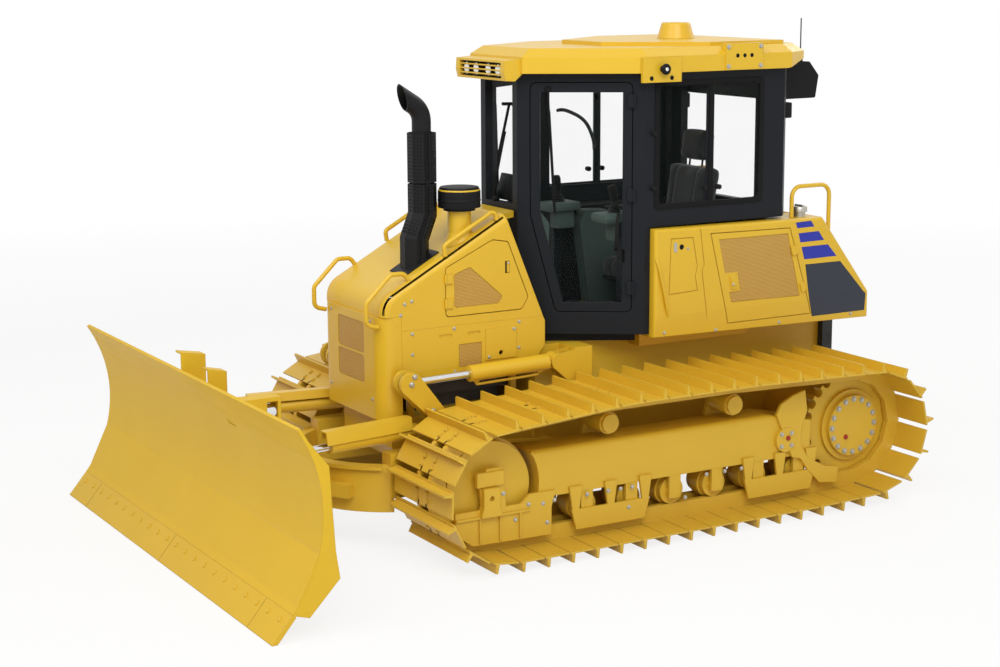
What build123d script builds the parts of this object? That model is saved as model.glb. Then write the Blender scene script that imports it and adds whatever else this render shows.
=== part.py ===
from build123d import *
import os
from math import atan2, degrees, hypot

os.makedirs("parts", exist_ok=True)

# A crawler dozer with an angling and tilting blade, in millimetres.
# X is forward, Y is to the machine's left, Z is up, and z = 0 is the ground under the lugs.

# Whole machine and clearances
running_gap = 0.1
seat_gap = 0.3
link_sag = 2.2
side_gap = 5
door_gap = 5

# Crawler tracks
track_gauge = 1880
shoe_width = 710
shoe_pitch = 170
wheel_base = 2745
blade_reach = 1659.6
pin_to_plate = 50
plate_thickness = 12
grouser_height = 55
grouser_root = 24
grouser_tip = 13
rail_to_pin = 45
rail_width = 40
rail_spacing = 135
sprocket_pitch_radius = 345
lug_circle_radius = 455.4
sprocket_teeth = 25
sprocket_lift = 15
idler_tread_radius = 290
roller_radius = 85
roller_count = 7
carrier_radius = 68
carrier_pin_height = 850

# Track frames
frame_width = 250
frame_bottom = 350
frame_top = 640
pivot_z = 470
pivot_radius = 80
final_drive_radius = 235
final_cover_radius = 200

# Main frame
hull_half_width = 400
hull_bottom = 420
hull_top = 1110
hull_front_x = 60
nose_frame_half_width = 330
nose_frame_front_x = 1040
nose_frame_top = 740

# Hood
hood_half_width = 405
hood_wall = 12
hood_split_z = 1300
hood_bottom_z = 1000
hood_rear_top = (283, 1955)
hood_rear_foot = (14, hood_split_z)
hood_front_x = 1130
hood_nose_z = 1493
hood_nose_radius = 140
hood_edge_radius = 55
mask_front_x = 1142
mask_rear_x = 1000
mask_bottom_z = 760
mask_top_z = 1388
mask_corner_radius = 95
cowl_rear_x = 98

# Cab
pillar_front = (90, 225)
pillar_middle = (-560, 665)
cab_rear_x = -1700
cab_corner = 60
cab_wall = 55
cab_bottom_z = 1165
cab_band_z = 1835
cab_top_z = 2790
sill_z = 1305
roof_thickness = 100
roof_crown = 50
roof_overhang = 68

# Rear body
body_front_x = -610
body_inner_y = 430
body_outer_y = 720
body_top_z = 1828
body_bottom_z = 1125
body_slope_foot_z = 1290

# Blade
blade_width = 3350
blade_height = 1122
blade_lean = 172
edge_rise = 145
edge_back = 122
edge_thickness = 25
moldboard_sagitta = 160
moldboard_thickness = 20
end_plate_thickness = 25

# Blade linkage
trunnion_x = 0
trunnion_z = 420
trunnion_radius = 60
arm_y = 510
arm_width = 110
arm_bottom = 330
arm_top = 600
horn_plate = 24
lift_eye = (1021, 1006)
lift_base = (-11, 1032)
lift_barrel_radius = 50
lift_rod_radius = 25
lift_barrel_length = 615
swivel_z = 450
king_pin_radius = 45
tilt_pin_radius = 50
angle_base = (930, 465)
angle_eye_y = 610
angle_z = 700
angle_barrel_radius = 42
angle_rod_radius = 22
angle_barrel_length = 640
tilt_base = (-120, 800)
tilt_eye_y = 560
tilt_eye_drop = 162
tilt_barrel_radius = 40
tilt_rod_radius = 20
tilt_barrel_length = 470

# Places worked out from the sizes above
track_y = track_gauge / 2
track_inner_y = track_y - shoe_width / 2
track_outer_y = track_y + shoe_width / 2
pin_height = pin_to_plate + plate_thickness + grouser_height
overall_length = lug_circle_radius + wheel_base + blade_reach
edge_x = overall_length / 2
sprocket_x = lug_circle_radius - edge_x
idler_x = sprocket_x + wheel_base
front_roller_x = idler_x - 340
rear_roller_x = sprocket_x + 475
carrier_xs = (idler_x - 840, sprocket_x + 975)
frame_front_x = idler_x - 130
frame_rear_x = sprocket_x + 385
pivot_x = sprocket_x + 595
hull_rear_x = sprocket_x - 225
body_slope_top_x = sprocket_x + 35
body_rear_x = sprocket_x - 370
swivel_x = edge_x - 710
tilt_x = edge_x - 495
angle_eye = (edge_x - 530, angle_eye_y)
tilt_eye = (tilt_eye_y, blade_height - tilt_eye_drop)
sprocket_z = pin_height + sprocket_pitch_radius + sprocket_lift
idler_pitch_radius = idler_tread_radius + rail_to_pin
idler_z = pin_height + idler_pitch_radius
roller_z = pin_height + rail_to_pin + roller_radius
roller_step = (front_roller_x - rear_roller_x) / (roller_count - 1)
roller_xs = [front_roller_x - i * roller_step for i in range(roller_count)]
carrier_z = carrier_pin_height - rail_to_pin - carrier_radius - 2 * link_sag
frame_inner_y = track_y - frame_width / 2
frame_outer_y = track_y + frame_width / 2


def side_plane(y):
    return Plane(origin=(0, y, 0), x_dir=(1, 0, 0), z_dir=(0, -1, 0))


def disc(x, z, y_outer, length, radius, mode=Mode.ADD):
    # A round along Y, from y_outer towards the machine's right
    with BuildSketch(side_plane(y_outer)) as outline:
        with Locations((x, z)):
            Circle(radius)
    extrude(outline.sketch, amount=length, mode=mode)


def post(x, y, z_low, height, radius, mode=Mode.ADD):
    with BuildSketch(Plane.XY.offset(z_low)) as outline:
        with Locations((x, y)):
            Circle(radius)
    extrude(outline.sketch, amount=height, mode=mode)


def side_plate(points, y_outer, thickness, mode=Mode.ADD, corner=0):
    # An outline in X and Z, from y_outer towards the machine's right
    with BuildSketch(side_plane(y_outer)) as outline:
        with BuildLine():
            Polyline(*points, close=True)
        make_face()
        if corner:
            fillet(outline.vertices(), corner)
    extrude(outline.sketch, amount=thickness, mode=mode)


def plan_plate(points, z_low, height, mode=Mode.ADD, corner=0):
    with BuildSketch(Plane.XY.offset(z_low)) as outline:
        with BuildLine():
            Polyline(*points, close=True)
        make_face()
        if corner:
            fillet(outline.vertices(), corner)
    extrude(outline.sketch, amount=height, mode=mode)


def block(x0, x1, y0, y1, z0, z1, mode=Mode.ADD):
    with Locations(((x0 + x1) / 2, (y0 + y1) / 2, (z0 + z1) / 2)):
        Box(abs(x1 - x0), abs(y1 - y0), abs(z1 - z0), mode=mode)


def round_bar(start, direction, length, radius, mode=Mode.ADD):
    with BuildSketch(Plane(origin=start, z_dir=direction)) as outline:
        Circle(radius)
    extrude(outline.sketch, amount=length, mode=mode)


def bent_bar(points, bend, radius):
    with BuildLine() as path:
        FilletPolyline(*points, radius=bend)
    with BuildSketch(Plane(origin=path.line @ 0, z_dir=path.line % 0)) as outline:
        Circle(radius)
    sweep(outline.sketch, path=path.line)


def both_hands(points):
    # An outline in plan, given on the left from front to rear, closed on the right
    return [*points, *[(x, -y) for x, y in reversed(points)]]


def keep(part, node):
    part.label = node
    export_step(part, f"parts/{node}.step")


def keep_pair(part, node):
    keep(part, f"{node}_left")
    keep(mirror(part, about=Plane.XZ), f"{node}_right")


# Track: the pin line is the tightest loop round sprocket, carriers, idler and rollers
guide_radius = 5
guide_points = [(x, carrier_pin_height - guide_radius) for x in carrier_xs]
guide_points += [(x, pin_height + guide_radius) for x in (front_roller_x, rear_roller_x)]
loop_circles = [
    Edge.make_circle(sprocket_pitch_radius, Plane(origin=(sprocket_x, sprocket_z, 0))),
    Edge.make_circle(idler_pitch_radius, Plane(origin=(idler_x, idler_z, 0))),
    *[Edge.make_circle(guide_radius, Plane(origin=(x, z, 0))) for x, z in guide_points],
]
pin_loop = Wire.make_convex_hull(loop_circles)
shoe_count = round(pin_loop.length / shoe_pitch)
pitch = pin_loop.length / shoe_count
pins = [pin_loop.position_at(i * pitch, PositionMode.LENGTH) for i in range(shoe_count)]
loop_centre = Vector((sprocket_x + idler_x) / 2, (sprocket_z + idler_z) / 2)


def link_out(pin, next_pin):
    # Unit direction out of the loop, square to one link
    along = (next_pin - pin).normalized()
    outward = Vector(along.Y, -along.X)
    return outward if outward.dot(pin - loop_centre) > 0 else outward * -1


def pin_ring(distance):
    # The pin polygon, moved out of the loop by a distance
    ring = []
    for pin, before, after in zip(pins, link_outs[-1:] + link_outs[:-1], link_outs):
        ring.append(pin + (before + after) * (distance / (1 + before.dot(after))))
    return ring


link_outs = [link_out(pin, after) for pin, after in zip(pins, pins[1:] + pins[:1])]
link_middles = [(pin + after) * 0.5 for pin, after in zip(pins, pins[1:] + pins[:1])]
link_places = [
    Location((middle.X, middle.Y, 0), (0, 0, degrees(atan2(out.Y, out.X)) - 90))
    for middle, out in zip(link_middles, link_outs)
]
shoe_half = pitch / 2 - 3
plate_face = pin_to_plate + plate_thickness
lug_middle = -shoe_half + grouser_root
shoe_outline = [
    (-shoe_half, pin_to_plate),
    (shoe_half, pin_to_plate),
    (shoe_half, plate_face),
    (lug_middle + grouser_root / 2, plate_face),
    (lug_middle + grouser_tip / 2, plate_face + grouser_height),
    (lug_middle - grouser_tip / 2, plate_face + grouser_height),
    (lug_middle - grouser_root / 2, plate_face),
    (-shoe_half, plate_face),
]
link_root = 0
with BuildPart() as track:
    with BuildSketch(side_plane(track_outer_y)):
        with Locations(*link_places):
            Polygon(*shoe_outline, align=None)
    extrude(amount=shoe_width)
    for rail_side in (1, -1):
        rail_outer_y = track_y + rail_side * rail_spacing / 2 + rail_width / 2
        with BuildSketch(side_plane(rail_outer_y)):
            with BuildLine():
                Polyline(*pin_ring(pin_to_plate + link_root), close=True)
            make_face()
            with BuildLine():
                Polyline(*pin_ring(-rail_to_pin), close=True)
            make_face(mode=Mode.SUBTRACT)
        extrude(amount=rail_width)
keep_pair(track.part, "track")

# Track rollers, carrier rollers and the front idler of one side
roller_half = (rail_spacing + rail_width) / 2
rail_free_half = (rail_spacing - rail_width) / 2 - side_gap
collar_thickness = 24
idler_face_radius = (idler_pitch_radius ** 2 - pitch ** 2 / 4) ** 0.5 - rail_to_pin - 3 * seat_gap
with BuildPart() as rollers:
    for roller_x in roller_xs:
        tread_radius = roller_radius - (link_sag if roller_x == roller_xs[-1] else 0)
        disc(roller_x, roller_z, track_y + roller_half, 2 * roller_half, tread_radius)
        disc(roller_x, roller_z, track_y + rail_free_half, 2 * rail_free_half, roller_radius + 12)
        disc(roller_x, roller_z, frame_outer_y, frame_width, roller_radius / 2)
        for collar_y in (frame_outer_y, frame_inner_y + collar_thickness):
            block(roller_x - 42, roller_x + 42, collar_y - collar_thickness, collar_y,
                  roller_z - 40, frame_bottom)
    for carrier_x in carrier_xs:
        disc(carrier_x, carrier_z, track_y + roller_half, 2 * roller_half, carrier_radius)
        disc(carrier_x, carrier_z, track_y + roller_half + 22, 22, carrier_radius - 10)
        disc(carrier_x, carrier_z, track_y - roller_half, frame_width / 2 - roller_half, 36)
        side_plate([(carrier_x - 85, frame_top), (carrier_x + 85, frame_top),
                    (carrier_x + 48, carrier_z + 44), (carrier_x - 48, carrier_z + 44)],
                   frame_inner_y + 36, 36)
    disc(idler_x, idler_z, track_y + roller_half, 2 * roller_half, idler_face_radius)
    disc(idler_x, idler_z, track_y + rail_free_half, 2 * rail_free_half, idler_face_radius + 18)
    disc(idler_x, idler_z, frame_outer_y, frame_width, 60)
keep_pair(rollers.part, "rollers")

# Track frame: a rounded box, hollowed at the front for the idler, with roller guards below
idler_clear_radius = idler_tread_radius + 34
guard_plate = 18
guard_low = roller_z - 125
frame_outline = [
    (frame_front_x, frame_bottom),
    (frame_front_x, frame_top - 110),
    (frame_front_x - 160, frame_top),
    (pivot_x + 130, frame_top),
    (frame_rear_x, frame_top - 70),
    (frame_rear_x, frame_bottom + 40),
    (frame_rear_x + 60, frame_bottom),
]
with BuildPart() as track_frame:
    side_plate(frame_outline, frame_outer_y, frame_width)
    fillet(track_frame.edges().filter_by(Axis.X).group_by(Axis.Z)[-1], 38)
    disc(idler_x, idler_z, frame_outer_y + 40, frame_width + 80, idler_clear_radius, Mode.SUBTRACT)
    disc(pivot_x, pivot_z, frame_outer_y + 26, 26, pivot_radius)
    disc(pivot_x, pivot_z, frame_outer_y, frame_outer_y - hull_half_width, pivot_radius)
    for guard_y in (frame_outer_y + guard_plate, frame_inner_y):
        for guard_first, guard_last in ((1, 2), (5, 6)):
            guard_front = roller_xs[guard_first] + 120
            guard_rear = roller_xs[guard_last] - 120
            side_plate([(guard_front, roller_z), (guard_front - 34, guard_low), (guard_rear + 34, guard_low),
                        (guard_rear, roller_z)], guard_y, guard_plate)
            guard_middle = (guard_front + guard_rear) / 2
            for gusset_x in (guard_front - 30, guard_middle, guard_rear + 30):
                side_plate([(gusset_x - 45, frame_bottom + 40), (gusset_x + 45, frame_bottom + 40),
                            (gusset_x + 20, roller_z - 30), (gusset_x - 20, roller_z - 30)], guard_y, guard_plate)
        side_plate([(idler_x + 250, frame_bottom - 10), (idler_x + 250, roller_z + 10), (idler_x + 205, roller_z - 66),
                    (idler_x + 135, guard_low + 8), (front_roller_x - 60, guard_low),
                    (front_roller_x - 60, frame_bottom - 60), (front_roller_x - 90, frame_bottom + 40),
                    (frame_front_x - 120, frame_bottom + 40), (frame_front_x - 60, frame_bottom - 10)],
                   guard_y, guard_plate)
        side_plate([(idler_x - 90, idler_z - 120), (idler_x + 70, idler_z - 120),
                    (idler_x + 90, idler_z + 40), (idler_x + 40, idler_z + 130),
                    (idler_x - 60, idler_z + 130)],
                   guard_y, guard_plate, corner=18)
        side_plate([(idler_x - 60, frame_bottom - 30), (idler_x + 60, frame_bottom - 30),
                    (idler_x + 60, idler_z - 100), (idler_x - 60, idler_z - 100)],
                   guard_y, guard_plate)
    rib_outer = frame_outer_y + guard_plate + 12
    for rib_x in (idler_x + 90, idler_x - 45, idler_x - 180):
        block(rib_x - 6, rib_x + 6, frame_outer_y, rib_outer, guard_low + 20, frame_bottom - 55)
    block(idler_x + 255 - 500, idler_x + 250, frame_outer_y, rib_outer, frame_bottom - 60, frame_bottom - 46)
    block(idler_x - 70, idler_x + 110, frame_outer_y, rib_outer, idler_z + 25, idler_z + 112)
    side_plate([(idler_x - 45, frame_bottom - 50), (idler_x + 95, frame_bottom - 50), (idler_x + 78, idler_z - 90),
                (idler_x + 78, idler_z + 20), (idler_x - 28, idler_z + 20), (idler_x - 28, idler_z - 90)],
               frame_outer_y + guard_plate + 36, guard_plate + 36)
    disc(idler_x + 25, idler_z - 42, frame_outer_y + guard_plate + 36, 24, 15, Mode.SUBTRACT)
    side_plate([(sprocket_x + 675, frame_top), (sprocket_x + 640, 705), (sprocket_x + 545, 752),
                (sprocket_x + 450, 775), (sprocket_x + 430, 640), (sprocket_x + 475, 525), (sprocket_x + 475, 420),
                (sprocket_x + 415, 330), (sprocket_x + 275, 255), (sprocket_x + 163, 236), (sprocket_x + 168, 130),
                (sprocket_x + 315, 150), (sprocket_x + 415, 250), (sprocket_x + 475, 330), (sprocket_x + 545, frame_bottom)],
               frame_outer_y + 22, 22)
keep_pair(track_frame.part, "track_frame")

# Final drive: toothed sprocket, drum and bolted cover
sprocket_thickness = 2 * rail_free_half - side_gap
tooth_gap_radius = 30
with BuildPart() as final_drive:
    with BuildSketch(side_plane(track_y + sprocket_thickness / 2)):
        with Locations((sprocket_x, sprocket_z)):
            Circle(sprocket_pitch_radius + 12)
            with PolarLocations(sprocket_pitch_radius, sprocket_teeth):
                Circle(tooth_gap_radius, mode=Mode.SUBTRACT)
    extrude(amount=sprocket_thickness)
    disc(sprocket_x, sprocket_z, track_y + 62, 62, final_drive_radius)
    disc(sprocket_x, sprocket_z, track_y + 92, 40, final_cover_radius)
    disc(sprocket_x, sprocket_z, track_y, track_y - hull_half_width, final_drive_radius - 10)
keep_pair(final_drive.part, "final_drive")

# Main frame: rear case, engine cradle, C-frame trunnions and lift cylinder brackets
lift_bracket_plate = 22
lift_bracket_radius = 54
lift_eye_half = 26
lift_pin_radius = 30
with BuildPart() as main_frame:
    side_plate([(hull_rear_x, hull_bottom + 140), (hull_rear_x, hull_top), (hull_front_x, hull_top),
                (hull_front_x, hull_bottom), (hull_rear_x + 180, hull_bottom)],
               hull_half_width - 20, 2 * (hull_half_width - 20), Mode.ADD)
    side_plate([(hull_front_x, hull_bottom), (hull_front_x, nose_frame_top + 40),
                (nose_frame_front_x, nose_frame_top), (nose_frame_front_x, hull_bottom + 150),
                (nose_frame_front_x - 160, hull_bottom)],
               nose_frame_half_width, 2 * nose_frame_half_width)
    disc(sprocket_x, sprocket_z, hull_half_width, 2 * hull_half_width, final_drive_radius - 15)
    disc(pivot_x, pivot_z, hull_half_width, 2 * hull_half_width, pivot_radius + 25)
    trunnion_outer_y = arm_y + arm_width / 2 + 8
    disc(trunnion_x, trunnion_z, trunnion_outer_y, 2 * trunnion_outer_y, trunnion_radius)
    disc(trunnion_x, trunnion_z, arm_y - arm_width / 2 - side_gap,
         2 * (arm_y - arm_width / 2 - side_gap), trunnion_radius + 45)
    for hand in (1, -1):
        bracket_outer = arm_y + lift_eye_half + side_gap / 2 + lift_bracket_plate
        bracket_inner = arm_y - lift_eye_half - side_gap / 2
        for plate_y in (bracket_outer, bracket_inner):
            plate_outer = plate_y if hand > 0 else lift_bracket_plate - plate_y
            side_plate([(lift_base[0] - 240, hull_top), (lift_base[0] - 240, lift_base[1] - 170),
                        (lift_base[0] - 110, lift_base[1] - 170), (lift_base[0] + 28, lift_base[1] - 45),
                        (lift_base[0] + 28, lift_base[1] + 45)],
                       plate_outer, lift_bracket_plate, corner=10)
            disc(lift_base[0], lift_base[1], plate_outer, lift_bracket_plate, lift_bracket_radius)
        block(lift_base[0] - 240, lift_base[0] - 110, hand * (hull_half_width - 30), hand * bracket_outer,
              lift_base[1] - 150, hull_top)
        pin_outer = bracket_outer if hand > 0 else -bracket_inner + lift_bracket_plate
        disc(lift_base[0], lift_base[1], pin_outer, bracket_outer - bracket_inner + lift_bracket_plate,
             lift_pin_radius)
keep(main_frame.part, "main_frame")

# Engine, as one plain block with its oil pan
with BuildPart() as engine_block:
    block(140, 940, -270, 270, 860, hood_split_z - 80)
    block(240, 840, -200, 200, hood_split_z - 80, hood_split_z + 90)
    block(220, 860, -190, 190, nose_frame_top - 40, 860)
    add(main_frame.part, mode=Mode.SUBTRACT)
keep(engine_block.part, "engine_block")

# Hood: sloped top with a rounded nose, open below, and a cowl up to the windscreen
door_front_x = 702
engine_door_outline = [(door_front_x, 1354), (door_front_x, 1656), (372, 1806), (262, 1786), (118, 1430), (165, 1354)]
engine_window = [(639, 1408), (639, 1612), (532, 1650), (302, 1450), (330, 1408)]
door_corner = 28
hood_outline = [hood_rear_foot, hood_rear_top, (hood_front_x, hood_nose_z), (hood_front_x, mask_top_z),
                (mask_rear_x, mask_top_z), (mask_rear_x, hood_split_z)]
cowl_thickness = 40
exhaust_x = 798
exhaust_y = 195
exhaust_radius = 58


def hood_section(half_width, inset):
    with BuildSketch(side_plane(half_width)) as section:
        with BuildLine():
            Polyline(*hood_outline, close=True)
        make_face()
        fillet(section.vertices().group_by(Axis.X)[-1].sort_by(Axis.Y)[-1], hood_nose_radius)
        if inset:
            offset(amount=-inset, mode=Mode.REPLACE)
    return section.sketch


with BuildPart() as hood_mass:
    extrude(hood_section(hood_half_width, 0), amount=2 * hood_half_width)
    top_edges = hood_mass.edges().filter_by(
        lambda edge: abs(edge.center().Y) > hood_half_width - 1
        and edge.center().Z > mask_top_z + 20
        and edge.center().X > hood_rear_top[0] + 20
    )
    fillet(top_edges, hood_edge_radius)

with BuildPart() as hood_shell:
    add(hood_mass.part)
    extrude(hood_section(hood_half_width - hood_wall, hood_wall), amount=2 * (hood_half_width - hood_wall),
            mode=Mode.SUBTRACT)
    block(hood_rear_foot[0] + 60, mask_rear_x - 60, -hood_half_width + 60, hood_half_width - 60,
          hood_split_z, hood_split_z + 2 * hood_wall, Mode.SUBTRACT)
    side_plate(engine_door_outline, hood_half_width, 2 * hood_half_width, Mode.SUBTRACT, corner=door_corner)
    plan_plate(both_hands([(hood_rear_top[0] + 30, hood_half_width - 60), (cowl_rear_x, pillar_front[1] - 30)]),
               hood_rear_top[1] - 15 - cowl_thickness, cowl_thickness)
    plan_plate(both_hands([(pillar_front[0] + 6, pillar_front[1] + 8), (pillar_front[0] - 190, pillar_front[1] + 146)]),
               hood_split_z - 10, 700, Mode.SUBTRACT)
    post(exhaust_x, exhaust_y, mask_top_z + 60, 300, exhaust_radius + seat_gap, Mode.SUBTRACT)
keep(hood_shell.part, "hood_shell")

# Engine doors, hinged at their front edges
engine_hinge_x = door_front_x
engine_hinge_y = hood_half_width + 10
window_recess = 6
with BuildPart() as engine_door:
    with BuildSketch(side_plane(hood_half_width)) as engine_door_face:
        with BuildLine():
            Polyline(*engine_door_outline, close=True)
        make_face()
        fillet(engine_door_face.vertices(), door_corner)
        offset(amount=-door_gap, mode=Mode.REPLACE)
    extrude(amount=hood_wall)
    side_plate(engine_window, hood_half_width, window_recess, Mode.SUBTRACT, corner=20)
    block(254, 284, hood_half_width - window_recess, hood_half_width, 1590, 1665, Mode.SUBTRACT)
    for knuckle_z in (1410, 1560):
        post(engine_hinge_x, engine_hinge_y, knuckle_z, 60, 8)
        block(engine_hinge_x - 45, engine_hinge_x, hood_half_width, engine_hinge_y + 3, knuckle_z, knuckle_z + 60)
keep_pair(engine_door.part, "engine_door")

# Lower side panels of the engine bay
with BuildPart() as side_panels:
    for panel_y in (hood_half_width, hood_wall - hood_half_width):
        side_plate([(mask_rear_x, hood_split_z), hood_rear_foot, (0, hood_split_z - 30), (0, hull_top + 5),
                    (90, hood_bottom_z), (mask_rear_x, hood_bottom_z)], panel_y, hood_wall)
        face_y = panel_y if panel_y > 0 else -hood_half_width
        inward = hood_wall / 2 if panel_y > 0 else -hood_wall / 2
        for slot_x in (506, 703):
            block(slot_x - 42, slot_x + 42, face_y, face_y - inward, 1236, 1250, Mode.SUBTRACT)
        block(453, 611, face_y, face_y - inward, 1037, 1180, Mode.SUBTRACT)
        block(208, 427, face_y, face_y + inward, 1062, 1258)
        disc(319, 1100, hood_half_width + hood_wall, 2 * (hood_half_width + hood_wall), 15, Mode.SUBTRACT)
    for brace_x in (160, 880):
        block(brace_x, brace_x + 40, -hood_half_width + hood_wall, hood_half_width - hood_wall,
              hood_split_z - 60, hood_split_z - 30)
        for foot_y in (-nose_frame_half_width + 40, nose_frame_half_width - 10):
            block(brace_x, brace_x + 40, foot_y - 30, foot_y, nose_frame_top - 40, hood_split_z - 60)
    add(main_frame.part, mode=Mode.SUBTRACT)
keep(side_panels.part, "side_panels")

# Front mask with two stacked recesses of perforated sheet
mask_window_half = 180
mask_window_zs = ((960, 1128), (1142, 1332))
with BuildPart() as mask_mass:
    with BuildSketch(Plane.XY.offset(mask_bottom_z)) as mask_plan:
        with BuildLine():
            Polyline((mask_rear_x, -hood_half_width), (mask_front_x, -hood_half_width),
                     (mask_front_x, hood_half_width), (mask_rear_x, hood_half_width), close=True)
        make_face()
        fillet(mask_plan.vertices().group_by(Axis.X)[-1], mask_corner_radius)
    extrude(amount=mask_top_z - mask_bottom_z)

with BuildPart() as front_mask:
    add(mask_mass.part)
    with BuildSketch(Plane.XY.offset(mask_bottom_z)) as mask_hollow:
        with BuildLine():
            Polyline((mask_rear_x, hood_wall - hood_half_width), (mask_front_x - hood_wall, hood_wall - hood_half_width),
                     (mask_front_x - hood_wall, hood_half_width - hood_wall),
                     (mask_rear_x, hood_half_width - hood_wall), close=True)
        make_face()
        fillet(mask_hollow.vertices().group_by(Axis.X)[-1], mask_corner_radius - hood_wall)
    extrude(amount=mask_top_z - mask_bottom_z, mode=Mode.SUBTRACT)
    with BuildSketch(Plane.YZ.offset(mask_front_x)) as mask_windows:
        for window_low, window_high in mask_window_zs:
            with Locations((0, (window_low + window_high) / 2)):
                RectangleRounded(2 * mask_window_half, window_high - window_low, 24)
    extrude(amount=-window_recess, mode=Mode.SUBTRACT)
keep(front_mask.part, "front_mask")

# Exhaust: a pipe with a step back, ending in a bent outlet, inside a perforated guard
exhaust_upper_x = 740
guard_radius = 88
exhaust_points = [(exhaust_x, exhaust_y, 1640), (exhaust_x, exhaust_y, 1815), (exhaust_upper_x, exhaust_y, 1965),
                  (exhaust_upper_x, exhaust_y, 2590), (exhaust_upper_x + 190, exhaust_y, 2710)]
outlet_cut = [(834, 2535), (902, 2820), (1100, 2820), (1100, 2535)]
hood_slope = Vector(hood_front_x - hood_rear_top[0], hood_nose_z - hood_rear_top[1]).normalized()
hood_top_z = hood_rear_top[1] + (exhaust_x - hood_rear_top[0]) * hood_slope.Y / hood_slope.X
hood_top_plane = Plane(origin=(exhaust_x, exhaust_y, hood_top_z), x_dir=(hood_slope.X, 0, hood_slope.Y),
                       z_dir=(-hood_slope.Y, 0, hood_slope.X))
with BuildPart() as exhaust_pipe:
    with BuildLine() as exhaust_path:
        FilletPolyline(*exhaust_points, radius=120)
    with BuildSketch(Plane(origin=exhaust_path.line @ 0, z_dir=exhaust_path.line % 0)):
        Circle(exhaust_radius)
        Circle(exhaust_radius - 5, mode=Mode.SUBTRACT)
    sweep()
    side_plate(outlet_cut, exhaust_y + 2 * exhaust_radius, 4 * exhaust_radius, Mode.SUBTRACT)
keep(exhaust_pipe.part, "exhaust_pipe")

with BuildPart() as exhaust_guard:
    with BuildLine() as guard_path:
        Polyline((exhaust_x, exhaust_y, 1640), (exhaust_x, exhaust_y, 1815), (exhaust_upper_x, exhaust_y, 1965),
                 (exhaust_upper_x, exhaust_y, 2456))
    with BuildSketch(Plane(origin=guard_path.line @ 0, x_dir=(1, 0, 0), z_dir=(0, 0, 1))):
        RegularPolygon(guard_radius, 8, rotation=22.5)
        for flange_side in (1, -1):
            with Locations((0, flange_side * guard_radius)):
                Rectangle(6, 34)
        RegularPolygon(guard_radius - 5, 8, rotation=22.5, mode=Mode.SUBTRACT)
    sweep(transition=Transition.RIGHT)
    block(exhaust_upper_x - 120, exhaust_upper_x + 120, exhaust_y - 120, exhaust_y + 120, 2150, 2158, Mode.SUBTRACT)
    with BuildSketch(hood_top_plane):
        Rectangle(260, 210)
        Circle(guard_radius - 8, mode=Mode.SUBTRACT)
    extrude(amount=8)
    block(exhaust_upper_x - 8, exhaust_upper_x + 8, exhaust_y + exhaust_radius, exhaust_y + guard_radius - 4, 2130, 2180)
    block(exhaust_upper_x - 8, exhaust_upper_x + 8, exhaust_y - guard_radius + 4, exhaust_y - exhaust_radius, 2130, 2180)
    add(hood_mass.part, mode=Mode.SUBTRACT)
keep(exhaust_guard.part, "exhaust_guard")

# Air pre-cleaner on its duct
precleaner_x = 535
precleaner_y = 285
with BuildPart() as precleaner:
    with BuildSketch(Plane(origin=(precleaner_x, precleaner_y, 0), x_dir=(1, 0, 0), z_dir=(0, -1, 0))):
        with BuildLine():
            Polyline((0, 1740), (110, 1740), (72, 1850), (72, 1985), (96, 1985), (96, 2004), (128, 2004),
                     (128, 2108), (116, 2124), (0, 2128), close=True)
        make_face()
    revolve(axis=Axis((precleaner_x, precleaner_y, 0), (0, 0, 1)))
    add(hood_mass.part, mode=Mode.SUBTRACT)
keep(precleaner.part, "precleaner")

# Cab: a hexagon in plan, narrow in front and widest at the door hinges
door_run = Vector(pillar_middle[0] - pillar_front[0], pillar_middle[1] - pillar_front[1])
door_length = door_run.length
door_along = door_run.normalized()
door_out = Vector(-door_along.Y, door_along.X) * -1
door_plane = Plane(origin=(pillar_front[0], pillar_front[1], 0), x_dir=(door_along.X, door_along.Y, 0),
                   z_dir=(door_out.X, door_out.Y, 0))
cab_half_width = pillar_middle[1]
cab_plan = [pillar_front, pillar_middle, (cab_rear_x + cab_corner, cab_half_width),
            (cab_rear_x, cab_half_width - cab_corner)]
foot_plan = [pillar_front, pillar_middle, (body_front_x + door_gap, cab_half_width)]
door_front_s = 78
door_rear_s = door_length - 72
door_kink_z = 1915
door_foot_s = 235
door_head_z = 2735
door_opening = [(door_front_s, door_head_z), (door_front_s, door_kink_z), (door_foot_s, sill_z),
                (door_rear_s, sill_z), (door_rear_s, door_head_z)]
side_window = (-1450, -660, 1965, 2715)
windshield_half = 168
windshield_z = (1975, 2735)
rear_window_half = 470
rear_window_z = (1900, 2700)


with BuildPart() as door_void:
    with BuildSketch(door_plane.offset(20)) as door_hole:
        with BuildLine():
            Polyline(*door_opening, close=True)
        make_face()
        fillet(door_hole.vertices(), 40)
    extrude(amount=-cab_wall - 80)

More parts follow.
